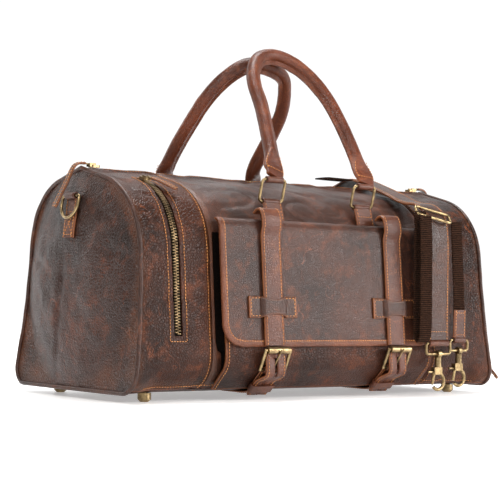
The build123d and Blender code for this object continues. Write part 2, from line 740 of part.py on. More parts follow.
def strap_pad():
    """Leather face of the hanging stretch, folded round the lower ring's bar."""
    path = [(-143.2, 243.0), (-151.5, 237.0), (-157.0, 226.0), (FALL_Y, 200.0), (FALL_Y, FALL_LOW_Z)]
    bore, fold = STRAP_RING_WIRE + LOOP_PLAY, FALL_HALF - 1
    pad = band(path, -FALL_HALF, FALL_HALF, TAB_THICKNESS)
    pad += sleeve_along_x(fold, FALL_Y, RING_A_TOP_Z, STRAP_LOOP_RADIUS, bore)
    pad += block((-fold, FALL_Y - 0.2, RING_A_TOP_Z + 2.6), (fold, FALL_Y + 3.2, FALL_LOW_Z + 1))
    pad -= bar_along_x(FALL_HALF + 6, FALL_Y, RING_A_TOP_Z, bore)
    return Location((FALL_X, 0, 0)) * pad


def strap_webbing():
    """Ribbed webbing: a doubled fall left of the pad and a single one right of it."""
    left = band([(-156.5, 232.0), (-157.5, 84.0), (-160.0, 73.0), (-164.5, 73.0), (-167.0, 84.0),
                 (-166.0, 232.0)], FOLD_X, FALL_X - FALL_HALF - GAP, WEBBING)
    right = band([(RING_B_Y + 8.0, 228.0), (RING_B_Y + 1.1, TAB_B_TOP_Z + 1)],
                 RING_B_X - WEBBING_HALF, RING_B_X + WEBBING_HALF, WEBBING)
    return Compound([left, right])


def strap_end_tab():
    """Leather end of the webbing on the right, folded round the upper ring's bar."""
    y, z = RING_B_Y, RING_B_TOP_Z
    low, high, deep = RING_B_X - WEBBING_HALF - 1, RING_B_X + WEBBING_HALF + 1, TAB_THICKNESS / 2
    tab = block((low, y - deep, z + 2.6), (high, y + deep, TAB_B_TOP_Z))
    loop = rod((low, y, z), (high, y, z), STRAP_LOOP_RADIUS)
    return tab + loop - rod((low - 5, y, z), (high + 5, y, z), STRAP_RING_WIRE + LOOP_PLAY)


def strap_adjuster():
    """Brass slide that the strap is threaded through, lying aslant at the fold."""
    half, rise = ADJUSTER_HALF, ADJUSTER_RISE
    corners = [(-half, 0, -rise), (half, 0, -rise), (half, 0, rise), (-half, 0, rise)]
    frame = wire_loop(corners, 4.0, STRAP_RING_WIRE)
    turned = Rotation(ADJUSTER_TILT, 0, 0) * (Rotation(0, ADJUSTER_TURN, 0) * frame)
    return Location(ADJUSTER_PLACE) * turned


def strap_ring(x, y, top, half):
    """Ring at the strap's end with the swivel eye that hangs on it."""
    low = top - STRAP_RING_DROP
    corners = [(x - half, y, low), (x + half, y, low), (x + half, y, top), (x - half, y, top)]
    ring = wire_loop(corners, 4.0, STRAP_RING_WIRE)
    eye = tube((x - 3, y, low), (x + 3, y, low), 5.0, STRAP_RING_WIRE + 0.1)
    collar = tube((x, y, low - 10), (x, y, low - 4.3), 4.2, SWIVEL_RADIUS + 0.05)
    return Compound([ring, eye + collar])


def hook(x, y, top):
    """Trigger hook below a swivel eye whose ring bar is at height top."""
    neck = top - 10
    centre = (x, y, neck - 25.5)
    shaft = rod((x, y, neck - 5), (x, y, neck + 4.6), SWIVEL_RADIUS)
    base = rod((x, y, neck - 8), (x, y, neck - 0.4), 4.4)
    pin = (x - GATE_PIVOT, neck - GATE_DROP)
    spine = block((x - 9.2, y - 3.6, neck - 16.4), (x + 4.5, y + 3.6, neck - 7))
    spine -= block((x - 20, y - 2.4, neck - 20), (x - 3.4, y + 2.4, neck - 10.6))
    spine += rod((pin[0], y - 3.6, pin[1]), (pin[0], y + 3.6, pin[1]), GATE_PIN_RADIUS)
    ring = Location(centre) * (Rotation(90, 0, 0) * Torus(HOOK_RADIUS, HOOK_WIRE))
    ring -= block((x - 20, y - 6, neck - 33.0), (x - 6.4, y + 6, neck - 25.5))
    ring -= block((x - 20, y - 6, neck - 25.6), (x - 1.6, y + 6, neck - 10))
    return ring + shaft + base + spine


def hook_gate(x, y, top):
    """Sprung gate with its thumb lever, closing the mouth of the hook."""
    neck = top - 10
    pivot = (x - GATE_PIVOT, y, neck - GATE_DROP)
    tip = (x - 10.4, y, neck - 29.4)
    bar = rod(pivot, tip, 1.9)
    lever = rod(pivot, (x - 17.5, y, neck - 13.0), 1.5)
    knuckle = rod((pivot[0], y - 2.2, pivot[2]), (pivot[0], y + 2.2, pivot[2]), 2.3)
    bore = rod((pivot[0], y - 3, pivot[2]), (pivot[0], y + 3, pivot[2]), GATE_PIN_RADIUS + 0.06)
    return bar + lever + knuckle - bore


# ---- everything ----------------------------------------------------------------------------------
def all_parts():
    parts = dict(body_panels())
    parts["bottom_panel"] = bottom_panel()
    parts["left_end_panel"] = left_end_panel()
    parts["right_end_panel"] = right_end_panel()
    parts["end_piping"] = end_piping()
    parts["lining"] = lining()
    parts["base_board"] = base_board()
    parts["feet"] = feet()
    parts["main_zip_tape"] = main_zip_tape()
    parts["main_zip_teeth"] = main_zip_teeth()
    parts["side_zip_tape"] = side_zip_tape()
    parts["side_zip_teeth"] = side_zip_teeth()
    parts["end_zip_tape"] = end_zip_tape()
    parts["end_zip_teeth"] = end_zip_teeth()
    parts.update(slider_parts())
    parts["front_pocket"] = front_pocket()
    parts["flap_panel"] = flap_panel()
    parts["flap_binding"] = flap_binding()
    parts["flap_straps"] = flap_straps()
    parts["flap_keepers"] = flap_keepers()
    parts["buckle_chapes"] = on_both_straps(chape)
    parts["strap_tails"] = on_both_straps(strap_tail)
    parts["keeper_loops"] = on_both_straps(keeper_loop)
    parts["buckle_frames"] = on_both_straps(buckle_frame)
    for side, x in (("left", -STRAP_X), ("right", STRAP_X)):
        parts["buckle_roller_" + side] = Location((x, 0, 0)) * buckle_roller()
        parts["buckle_prong_" + side] = Location((x, 0, 0)) * buckle_prong()
    parts["handle_tabs"] = handle_tabs()
    parts["front_rings"] = handle_rings()
    parts["front_handle"] = handle()
    parts["back_rings"] = mirror_y(parts["front_rings"])
    parts["back_handle"] = mirror_y(parts["front_handle"])
    parts["dring_tabs"] = Compound([mirror_x(dring_tab(LEFT_END_BULGE)), dring_tab(0.0)])
    parts["dring_left"] = mirror_x(dring(LEFT_END_BULGE))
    parts["dring_right"] = dring(0.0)
    parts["strap_over_top"] = strap_over_top()
    parts["strap_pad"] = strap_pad()
    parts["strap_webbing"] = strap_webbing()
    parts["strap_end_tab"] = strap_end_tab()
    parts["strap_adjuster"] = strap_adjuster()
    ends = {"front": (RING_A_X, FALL_Y, RING_A_TOP_Z, RING_A_HALF),
            "rear": (RING_B_X, RING_B_Y, RING_B_TOP_Z, RING_B_HALF)}
    for name, (x, y, top, half) in ends.items():
        low = top - STRAP_RING_DROP
        parts["strap_ring_" + name] = strap_ring(x, y, top, half)
        parts["hook_" + name] = hook(x, y, low)
        parts["hook_gate_" + name] = hook_gate(x, y, low)
    return parts


def main():
    os.makedirs("parts", exist_ok=True)
    for name, shape in all_parts().items():
        placed = Location((0, BOX_CENTRE_SHIFT, 0)) * shape
        export_step(placed, f"parts/{name}.step")


main()
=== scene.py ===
"""Leather travel duffel bag: the looks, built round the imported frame.

Shapes are drawn in millimetres about the bag's own mid plane, as the design is, and place() turns
them into metres in the frame. X runs along the bag, the pocket and its flap face -Y.
"""

import json
from math import atan2, cos, pi, radians, sin, sqrt, tan

import bmesh
import bpy
import numpy as np
from mathutils import Matrix, Vector, noise
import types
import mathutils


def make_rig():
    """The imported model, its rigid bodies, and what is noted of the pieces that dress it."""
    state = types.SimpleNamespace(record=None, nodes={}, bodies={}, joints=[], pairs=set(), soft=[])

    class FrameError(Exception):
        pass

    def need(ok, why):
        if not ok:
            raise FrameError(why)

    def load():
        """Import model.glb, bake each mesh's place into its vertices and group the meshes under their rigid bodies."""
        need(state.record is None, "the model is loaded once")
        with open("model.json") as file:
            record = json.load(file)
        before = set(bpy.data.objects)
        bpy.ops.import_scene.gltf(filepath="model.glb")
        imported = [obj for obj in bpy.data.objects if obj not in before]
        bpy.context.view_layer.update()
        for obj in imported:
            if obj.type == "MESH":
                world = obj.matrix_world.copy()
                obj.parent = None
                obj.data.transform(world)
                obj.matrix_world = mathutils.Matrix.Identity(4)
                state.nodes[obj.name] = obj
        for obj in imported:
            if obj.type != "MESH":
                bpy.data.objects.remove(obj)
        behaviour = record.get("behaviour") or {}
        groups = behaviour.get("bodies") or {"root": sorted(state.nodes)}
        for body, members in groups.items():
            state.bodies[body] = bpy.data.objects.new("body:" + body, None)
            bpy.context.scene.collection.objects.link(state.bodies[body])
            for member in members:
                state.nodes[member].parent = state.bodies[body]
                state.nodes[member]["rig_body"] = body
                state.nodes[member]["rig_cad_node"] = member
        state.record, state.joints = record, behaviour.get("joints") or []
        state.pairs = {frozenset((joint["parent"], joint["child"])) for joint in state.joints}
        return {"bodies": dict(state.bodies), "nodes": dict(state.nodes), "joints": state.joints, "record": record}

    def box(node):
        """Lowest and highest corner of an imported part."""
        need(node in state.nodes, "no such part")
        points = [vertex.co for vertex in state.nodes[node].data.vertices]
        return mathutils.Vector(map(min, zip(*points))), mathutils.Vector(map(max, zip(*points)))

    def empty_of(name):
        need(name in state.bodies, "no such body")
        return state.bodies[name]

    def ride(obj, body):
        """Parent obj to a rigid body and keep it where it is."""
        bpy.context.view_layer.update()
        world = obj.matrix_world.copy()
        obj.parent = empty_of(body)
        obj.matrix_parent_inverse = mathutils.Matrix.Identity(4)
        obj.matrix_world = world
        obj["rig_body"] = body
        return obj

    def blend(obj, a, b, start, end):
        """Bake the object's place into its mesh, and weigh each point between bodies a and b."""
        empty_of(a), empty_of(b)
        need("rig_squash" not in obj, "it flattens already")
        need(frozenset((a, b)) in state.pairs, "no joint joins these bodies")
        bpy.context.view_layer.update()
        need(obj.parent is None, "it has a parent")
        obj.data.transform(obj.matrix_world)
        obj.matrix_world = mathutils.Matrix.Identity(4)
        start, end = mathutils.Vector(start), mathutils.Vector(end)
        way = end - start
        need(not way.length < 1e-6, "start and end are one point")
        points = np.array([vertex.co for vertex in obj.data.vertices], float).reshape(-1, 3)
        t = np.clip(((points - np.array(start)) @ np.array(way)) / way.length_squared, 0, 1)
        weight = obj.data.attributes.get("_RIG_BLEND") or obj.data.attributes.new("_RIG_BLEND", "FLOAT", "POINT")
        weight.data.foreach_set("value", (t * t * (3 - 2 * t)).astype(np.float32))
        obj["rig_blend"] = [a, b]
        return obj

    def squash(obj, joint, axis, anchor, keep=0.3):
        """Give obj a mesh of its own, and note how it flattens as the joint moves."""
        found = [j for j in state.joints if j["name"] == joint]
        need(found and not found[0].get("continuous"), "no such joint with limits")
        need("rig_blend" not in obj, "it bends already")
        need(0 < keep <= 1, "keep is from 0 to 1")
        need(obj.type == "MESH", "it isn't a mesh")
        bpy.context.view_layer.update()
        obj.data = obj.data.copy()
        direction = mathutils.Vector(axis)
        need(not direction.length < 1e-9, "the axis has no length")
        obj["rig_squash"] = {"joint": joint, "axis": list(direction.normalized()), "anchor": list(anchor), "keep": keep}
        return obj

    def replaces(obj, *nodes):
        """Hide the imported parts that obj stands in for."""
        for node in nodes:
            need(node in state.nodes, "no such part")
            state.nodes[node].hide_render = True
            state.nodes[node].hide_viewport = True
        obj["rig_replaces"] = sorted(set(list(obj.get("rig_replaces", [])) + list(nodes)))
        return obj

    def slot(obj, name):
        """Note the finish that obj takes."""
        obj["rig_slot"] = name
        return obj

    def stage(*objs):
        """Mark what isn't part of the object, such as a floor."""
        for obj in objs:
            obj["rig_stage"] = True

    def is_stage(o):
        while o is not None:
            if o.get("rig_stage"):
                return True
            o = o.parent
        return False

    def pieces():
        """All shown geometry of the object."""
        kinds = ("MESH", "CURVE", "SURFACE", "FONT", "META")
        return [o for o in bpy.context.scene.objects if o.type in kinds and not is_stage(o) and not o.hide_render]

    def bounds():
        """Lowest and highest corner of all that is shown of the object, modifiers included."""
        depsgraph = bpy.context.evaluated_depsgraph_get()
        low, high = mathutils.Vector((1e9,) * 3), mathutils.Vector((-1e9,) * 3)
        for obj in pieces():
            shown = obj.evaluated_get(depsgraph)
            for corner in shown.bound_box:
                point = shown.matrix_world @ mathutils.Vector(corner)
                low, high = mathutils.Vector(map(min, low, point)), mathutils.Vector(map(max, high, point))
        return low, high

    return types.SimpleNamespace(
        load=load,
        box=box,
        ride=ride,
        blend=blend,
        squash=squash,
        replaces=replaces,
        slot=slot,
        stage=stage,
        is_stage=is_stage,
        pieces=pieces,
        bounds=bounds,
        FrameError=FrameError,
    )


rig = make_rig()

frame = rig.load()
CAD_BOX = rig.bounds()

MM = 0.001
PIPING_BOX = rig.box("end_piping")
SHIFT_Y = (PIPING_BOX[0].y + PIPING_BOX[1].y) / 2 / MM   # the bag's mid plane in the frame

# ---- the body, as in the design ------------------------------------------------------------------
BASE_HALF_LENGTH, END_LEAN, END_LEAN_BACK, LEAN_HEIGHT = 292.6, 48.9, 38.7, 277.0
TOP_SLOPE, WALL_SLOPE = radians(14.5), radians(5.2)
SHOULDER_Y, SHOULDER_Z, SHOULDER_RADIUS = 33.0, 173.5, 93.0
BASE_CORNER, END_CORNER = 45.0, 24.0      # radius of the lower corner, in the middle and at the ends
UNDERSIDE_Z = 11.0
BAND_SEAM_X = 178.5
SLOT_T = 0.115                            # outline parameter at the edge of the main zip's slot
SEAM_T = 3.72                             # and at the seam above the base
SIDE_ZIP_X, SIDE_SLOT_HALF = -228.0, 6.2
SIDE_SLOT_T = (0.80, 2.86)                # and at the two ends of the side zip
SIDE_STITCH_HALF = 12.0                   # stitches beside the side zip, from its middle

# ---- flap, pocket and straps ---------------------------------------------------------------------
FLAP_HALF, FLAP_TOP, FLAP_LOW, FLAP_THICK = 173.0, (-138.0, 205.0), (-151.0, 66.0), 3.0
FLAP_CORNER = 28.0                        # radius of its lower corners
SIDES = ((-1, "left"), (1, "right"))      # the sign of X and the name of each side
STRAP_X, STRAP_HALF, STRAP_THICK, STRAP_SEAM = 99.4, 14.9, 3.6, 3.2
KEEPER_Z, KEEPER_HALF = 113.0, 13.0
WALL_SKIRT, END_SKIRT = 2.6, 2.2          # how deep the leather turns in at its open edges
SEAM_OFFSET, STITCH_OUT = 4.5, 0.35       # stitches beside a seam, and how far they stand off the pattern
STITCH_PITCH, STITCH_LENGTH, STITCH_RADIUS = 3.8, 2.8, 0.48


# ---- small geometry tools ------------------------------------------------------------------------
def place(points):
    """Millimetres about the mid plane to metres in the frame."""
    points = np.asarray(points, float).reshape(-1, 3)
    return (points + (0, SHIFT_Y, 0)) * MM


def unit(vectors):
    vectors = np.asarray(vectors, float)
    length = np.linalg.norm(vectors, axis=-1, keepdims=True)
    return vectors / np.maximum(length, 1e-9)


def smooth(points, step=2.5):
    """Catmull-Rom curve through the points, sampled about every step."""
    points = [np.asarray(p, float) for p in points]
    points = [2 * points[0] - points[1], *points, 2 * points[-1] - points[-2]]
    out = []
    for a, b, c, d in zip(points, points[1:], points[2:], points[3:]):
        count = max(2, int(np.linalg.norm(c - b) / step))
        t = np.linspace(0, 1, count, endpoint=False)[:, None]
        out.append(0.5 * (2 * b + (c - a) * t + (2 * a - 5 * b + 4 * c - d) * t**2
                          + (3 * b - a - 3 * c + d) * t**3))
    return np.vstack([*out, points[-2]])


def run_of(path):
    """Distance from the start of a path at each of its points."""
    return np.concatenate([[0], np.cumsum(np.linalg.norm(np.diff(path, axis=0), axis=1))])


def resample(path, step):
    """The same polyline with points at even distances."""
    path = np.asarray(path, float)
    run = run_of(path)
    even = np.linspace(0, run[-1], max(2, int(run[-1] / step) + 1))
    return np.stack([np.interp(even, run, path[:, i]) for i in range(3)], 1)


def tangents(path, closed=False):
    if closed:
        return unit(np.roll(path, -1, 0) - np.roll(path, 1, 0))
    return unit(np.gradient(path, axis=0))


def frames(path, side, closed=False):
    """Square side and normal directions along a path; going down the front, -X gives outward."""
    ahead = tangents(path, closed)
    side = unit(np.broadcast_to(np.asarray(side, float), path.shape))
    side = unit(side - (side * ahead).sum(1, keepdims=True) * ahead)
    return side, np.cross(side, ahead)


def sweep(path, profile, side, closed=False, scale=None):
    """Vertices and faces of a closed profile [(along side, along normal)] drawn along a path."""
    path, profile = np.asarray(path, float), np.asarray(profile, float)
    side, normal = frames(path, side, closed)
    if profile.ndim == 3:
        shape = profile.copy()
    else:
        shape = np.broadcast_to(profile, (len(path), *profile.shape)).copy()
    if scale is not None:
        shape *= np.asarray(scale, float)[:, None, :]
    verts = path[:, None] + shape[..., :1] * side[:, None] + shape[..., 1:] * normal[:, None]
    rows, columns = shape.shape[:2]
    faces = grid_faces(rows, columns, closed, True)
    if not closed:
        faces.append(list(range(columns))[::-1])
        faces.append([(rows - 1) * columns + i for i in range(columns)])
    return verts.reshape(-1, 3), faces


def grid_faces(rows, columns, close_rows=False, close_columns=False, keep=None):
    faces = []
    for i in range(rows if close_rows else rows - 1):
        for j in range(columns if close_columns else columns - 1):
            if keep is None or keep(i, j):
                k, m = (i + 1) % rows, (j + 1) % columns
                faces.append([i * columns + j, i * columns + m, k * columns + m, k * columns + j])
    return faces


def circle(radius, count):
    return [(radius * cos(2 * pi * i / count), radius * sin(2 * pi * i / count)) for i in range(count)]


def strap_profile(half, thick, crown=0.4, across=9):
    """Cut edges nearly square, a slightly crowned face: closed, from the back face round."""
    edge = min(0.9, thick * 0.3)
    face = [(x * (half - edge), thick + crown * (1 - x * x)) for x in np.linspace(1, -1, across)]
    back = [(x * (half - edge), 0.0) for x in np.linspace(-1, 1, across)]
    left = [(-half, thick - edge), (-half, edge)]
    right = [(half, edge), (half, thick - edge)]
    return face + left + back + right


def rough(points, size, seed, octaves=2):
    """Smooth noise from -1 to 1 at each point, with features of about size millimetres."""
    shift = Vector((seed * 7.31, seed * 3.17, seed * 5.73))
    values = []
    for p in np.asarray(points, float).reshape(-1, 3):
        q = Vector(p) / size + shift
        value = noise.noise(q)
        if octaves > 1:
            value += 0.5 * noise.noise(q * 2.1)
        values.append(value)
    return np.array(values)


# ---- pieces --------------------------------------------------------------------------------------
def linked(obj):
    bpy.context.scene.collection.objects.link(obj)
    return obj


def piece(name, verts, faces, material, body="root", slot=None, nodes=(), wear=None):
    """A mesh piece from points in millimetres, riding on a body."""
    mesh = bpy.data.meshes.new(name)
    mesh.from_pydata(place(verts).tolist(), [], [list(f) for f in faces])
    mesh.validate()
    for polygon in mesh.polygons:
        polygon.use_smooth = True
    if wear is not None and len(wear) == len(mesh.vertices):
        layer = mesh.attributes.new("wear", "FLOAT", "POINT")
        layer.data.foreach_set("value", np.asarray(wear, np.float32))
    obj = linked(bpy.data.objects.new(name, mesh))
    mesh.materials.append(material)
    fix_normals(mesh)
    if nodes:
        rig.replaces(obj, *nodes)
    if slot:
        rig.slot(obj, slot)
    if body:
        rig.ride(obj, body)
    return obj


def fix_normals(mesh):
    work = bmesh.new()
    work.from_mesh(mesh)
    bmesh.ops.recalc_face_normals(work, faces=work.faces)
    work.to_mesh(mesh)
    work.free()
    mesh.set_sharp_from_angle(angle=radians(50))


def join(parts):
    """Several (verts, faces) as one."""
    verts, faces, start = [], [], 0
    for v, f in parts:
        verts.append(np.asarray(v, float).reshape(-1, 3))
        faces += [[i + start for i in face] for face in f]
        start += len(verts[-1])
    return np.concatenate(verts), faces


def facing(verts, faces, outward):
    """The faces, all turned over if the first one looks inward."""
    a, b, c = (verts[i] for i in faces[0][:3])
    if np.cross(b - a, c - b) @ outward < 0:
        return [face[::-1] for face in faces]
    return faces


def skirted(verts, faces, depth):
    """The surface with every open edge turned in by depth along the normal."""
    work = bmesh.new()
    made = [work.verts.new(v) for v in verts]
    for face in faces:
        work.faces.new([made[i] for i in face])
    bmesh.ops.delete(work, geom=[v for v in work.verts if not v.link_faces], context="VERTS")
    work.normal_update()
    edges = [e for e in work.edges if len(e.link_faces) == 1]
    inward = {v.co.to_tuple(4): v.normal.copy() for e in edges for v in e.verts}
    grown = bmesh.ops.extrude_edge_only(work, edges=edges)["geom"]
    for v in grown:
        if isinstance(v, bmesh.types.BMVert):
            v.co -= inward[v.co.to_tuple(4)] * depth
    work.verts.index_update()
    out = np.array([v.co for v in work.verts])
    index = [[v.index for v in f.verts] for f in work.faces]
    work.free()
    return out, index


STITCH_SIDES, STITCH_LIFT = 6, 0.1
STITCH_RINGS = [(-0.5, 0.25), (-0.36, 0.85), (0.0, 1.0), (0.36, 0.85), (0.5, 0.25)]


def one_stitch(centre, ahead, up, across):
    """A bead of thread: rings of points, wider in the middle."""
    ring = []
    for along, wide in STITCH_RINGS:
        radius = STITCH_RADIUS * wide
        for k in range(STITCH_SIDES):
            turn = 2 * pi * k / STITCH_SIDES
            ring.append(centre + ahead * along * STITCH_LENGTH + across * cos(turn) * radius
                        + up * (sin(turn) * radius + STITCH_LIFT))
    faces = grid_faces(len(STITCH_RINGS), STITCH_SIDES, False, True)
    return np.array(ring), faces + [[5, 4, 3, 2, 1, 0], [24, 25, 26, 27, 28, 29]]


def stitch_rows(name, rows, body="root"):
    """Thread along rows of (path, outward normals or one normal): a short bead for each stitch."""
    parts = []
    for path, normals in rows:
        even = resample(path, STITCH_PITCH)
        normals = np.broadcast_to(np.asarray(normals, float), np.shape(path))
        up = np.array([normals[np.argmin(((path - p) ** 2).sum(1))] for p in even])
        middle, ahead = (even[1:] + even[:-1]) / 2, unit(even[1:] - even[:-1])
        up = unit(up[1:] + up[:-1])
        across = unit(np.cross(ahead, up))
        parts += [one_stitch(*spot) for spot in zip(middle, ahead, up, across)]
    verts, faces = join(parts)
    return piece(name, verts, faces, THREAD, body)


def strap_wear(rows, profile, half):
    """Wear along a strap: 1 on the cut edges, a little next to them."""
    across = np.abs(np.asarray(profile)[:, 0]) / half
    wear = np.where(across > 0.975, 1.0, np.where(across > 0.9, 0.3, 0.0))
    return np.tile(wear, rows)


def strap(name, path, side, half, thick, material, body="root", slot=None, nodes=(), rows=(), width=None,
          wobble=0.5, crown=0.4, seed=1):
    """A flat leather strap along a path, with rows of stitches at the given offsets across it."""
    path = np.asarray(path, float)
    profile = strap_profile(half, thick, crown)
    scale = np.ones((len(path), 2))
    if width is not None:
        scale[:, 0] = width    # shares of half along the path
    verts, faces = sweep(path, profile, side, scale=scale)
    sides, normal = frames(path, side)
    lift = wobble * rough(verts, 11, seed)[:, None]
    verts = verts + np.repeat(normal, len(profile), 0) * lift * 0.5
    wear = strap_wear(len(path), profile, half)
    obj = piece(name, verts, faces, material, body, slot, nodes, wear)
    if rows:
        height = thick + crown * 0.4
        lines = [(path + sides * u * scale[:, :1] + normal * height, normal) for u in rows]
        stitch_rows(name + "_stitches", lines, body)
    return obj


# ---- materials -----------------------------------------------------------------------------------
def shader(name):
    material = bpy.data.materials.new(name)
    material.use_nodes = True
    tree = material.node_tree
    tree.nodes.clear()
    return material, tree


def node(tree, kind, inputs=None, **settings):
    made = tree.nodes.new(kind)
    for key, value in settings.items():
        setattr(made, key, value)
    for key, value in (inputs or {}).items():
        if isinstance(value, bpy.types.NodeSocket):
            tree.links.new(value, made.inputs[key])
        else:
            made.inputs[key].default_value = value
    return made


def ramp(tree, value, stops):
    made = tree.nodes.new("ShaderNodeValToRGB")
    tree.links.new(value, made.inputs[0])
    elements = made.color_ramp.elements
    while len(elements) < len(stops):
        elements.new(0.5)
    for element, (position, colour) in zip(elements, stops):
        element.position = position
        element.color = (*colour, 1) if len(colour) == 3 else colour
    return made.outputs[0]


def grey(value):
    return (value, value, value)


def mix(tree, factor, a, b):
    """Two colours mixed, each from a socket or three numbers."""
    inputs = {0: factor}
    for key, value in ((6, a), (7, b)):
        inputs[key] = value if isinstance(value, bpy.types.NodeSocket) else (*value, 1)
    return node(tree, "ShaderNodeMix", inputs, data_type="RGBA").outputs[2]


def maths(tree, operation, a, b=0.0):
    return node(tree, "ShaderNodeMath", {0: a, 1: b}, operation=operation).outputs[0]


def noise_of(tree, where, scale, detail=4.0, rough_share=0.6, distortion=0.0):
    return node(tree, "ShaderNodeTexNoise", {"Vector": where, "Scale": scale, "Detail": detail,
                                             "Roughness": rough_share, "Distortion": distortion}).outputs[0]


def show(tree, surface):
    """Links a surface to the material's output."""
    tree.links.new(surface.outputs[0], node(tree, "ShaderNodeOutputMaterial").inputs[0])


def finish_shader(tree, colour, roughness, bumps, specular=0.5, metallic=0.0):
    surface = node(tree, "ShaderNodeBsdfPrincipled", {"Base Color": colour, "Roughness": roughness,
                                                      "Metallic": metallic, "Normal": bumps.outputs[0]})
    surface.inputs["Specular IOR Level"].default_value = specular
    show(tree, surface)


ORANGE_EDGE = (0.22, 0.072, 0.024)


def leather(name, dark, middle, light, pebble=290.0, relief=1.0, gloss=0.36, scuffs=1.0, shine=0.34):
    """Grained hide: mottled dye, pebble with dark creases, thin pale scratches, raw edges at wear 1."""
    material, tree = shader(name)
    where = node(tree, "ShaderNodeTexCoord").outputs["Object"]
    broad = noise_of(tree, where, 9.0, 5.0, 0.62, 0.4)
    patches = noise_of(tree, where, 42.0, 7.0, 0.7, 0.4)
    fine = noise_of(tree, where, 420.0, 4.0, 0.7)
    warped = node(tree, "ShaderNodeVectorMath", {0: where}, operation="ADD")
    shift = node(tree, "ShaderNodeVectorMath", operation="SCALE")
    jitter = node(tree, "ShaderNodeTexNoise", {"Vector": where, "Scale": 90.0, "Detail": 2.0})
    tree.links.new(jitter.outputs["Color"], shift.inputs[0])
    shift.inputs["Scale"].default_value = 0.0009    # metres: more of it crinkles the pebble
    tree.links.new(shift.outputs[0], warped.inputs[1])
    cells = node(tree, "ShaderNodeTexVoronoi", {"Vector": warped.outputs[0], "Scale": pebble},
                 feature="DISTANCE_TO_EDGE").outputs["Distance"]
    colour = mix(tree, ramp(tree, broad, [(0.36, grey(0)), (0.66, grey(1))]), dark, middle)
    colour = mix(tree, ramp(tree, patches, [(0.52, grey(0)), (0.76, grey(0.7))]), colour, light)
    crease = ramp(tree, cells, [(0.0, grey(0.6)), (0.12, grey(0))])
    colour = mix(tree, crease, colour, dark)
    lines = noise_of(tree, where, 17.0, 3.0, 0.55, 1.6)
    ridge = maths(tree, "ABSOLUTE", maths(tree, "SUBTRACT", lines, 0.5))
    thin = ramp(tree, ridge, [(0.0, grey(1)), (0.009, grey(0))])
    sparse = ramp(tree, noise_of(tree, where, 28.0, 2.0), [(0.48, grey(0)), (0.60, grey(0.7 * scuffs))])
    scratch = maths(tree, "MULTIPLY", thin, sparse)
    colour = mix(tree, scratch, colour, light)
    wear = node(tree, "ShaderNodeAttribute", attribute_name="wear").outputs["Fac"]
    worn = maths(tree, "MULTIPLY", wear, ramp(tree, patches, [(0.3, grey(1)), (0.7, grey(0.62))]))
    colour = mix(tree, worn, colour, ORANGE_EDGE)
    domes = ramp(tree, cells, [(0.0, grey(0)), (0.10, grey(0.55)), (0.36, grey(1))])
    height = maths(tree, "ADD", domes, maths(tree, "MULTIPLY", fine, 0.22))
    wrinkle = noise_of(tree, where, 45.0, 3.0, 0.55, 0.8)
    bumps = node(tree, "ShaderNodeBump", {"Height": height, "Strength": 0.62 * relief, "Distance": 0.0007})
    bumps = node(tree, "ShaderNodeBump", {"Height": wrinkle, "Strength": 0.28 * relief, "Distance": 0.0026,
                                          "Normal": bumps.outputs[0]})
    matte = ramp(tree, patches, [(0.3, grey(gloss - 0.05)), (0.75, grey(gloss + 0.12))])
    finish_shader(tree, colour, matte, bumps, shine)
    return material


def metal(name, bright, dull, roughness=0.34):
    """Aged brass: dull brown film over brighter metal, finely scratched."""
    material, tree = shader(name)
    where = node(tree, "ShaderNodeTexCoord").outputs["Object"]
    film = noise_of(tree, where, 120.0, 6.0, 0.7, 0.4)
    fine = noise_of(tree, where, 900.0, 3.0, 0.6)
    colour = mix(tree, ramp(tree, film, [(0.40, grey(0)), (0.68, grey(1))]), bright, dull)
    bumps = node(tree, "ShaderNodeBump", {"Height": fine, "Strength": 0.25, "Distance": 0.0002})
    matte = ramp(tree, film, [(0.35, grey(roughness - 0.06)), (0.7, grey(roughness + 0.18))])
    finish_shader(tree, colour, matte, bumps, metallic=1.0)
    return material


def cloth(name, dark, light, pitch, rib=0.0006):
    """Woven tape with level ribs of the given pitch and depth, in metres."""
    material, tree = shader(name)
    where = node(tree, "ShaderNodeTexCoord").outputs["Object"]
    split = node(tree, "ShaderNodeSeparateXYZ", {0: where})
    wave = maths(tree, "SINE", maths(tree, "MULTIPLY", split.outputs[2], 2 * pi / pitch))
    other = maths(tree, "SINE", maths(tree, "MULTIPLY", split.outputs[0], 2 * pi / (pitch * 0.7)))
    weave = maths(tree, "ADD", wave, maths(tree, "MULTIPLY", other, 0.35))
    dust = noise_of(tree, where, 220.0, 5.0, 0.7)
    colour = mix(tree, ramp(tree, maths(tree, "ADD", maths(tree, "MULTIPLY", weave, 0.3), dust),
                            [(0.25, grey(0)), (0.95, grey(1))]), dark, light)
    bumps = node(tree, "ShaderNodeBump", {"Height": weave, "Strength": 0.9, "Distance": rib})
    finish_shader(tree, colour, 0.85, bumps, 0.06)
    return material


def thread(name, dark, light):
    material, tree = shader(name)
    where = node(tree, "ShaderNodeTexCoord").outputs["Object"]
    twist = noise_of(tree, where, 700.0, 3.0, 0.6)
    broad = noise_of(tree, where, 40.0, 3.0, 0.6)
    colour = mix(tree, ramp(tree, broad, [(0.35, grey(0)), (0.65, grey(1))]), dark, light)
    bumps = node(tree, "ShaderNodeBump", {"Height": twist, "Strength": 0.4, "Distance": 0.0002})
    finish_shader(tree, colour, 0.62, bumps)
    return material


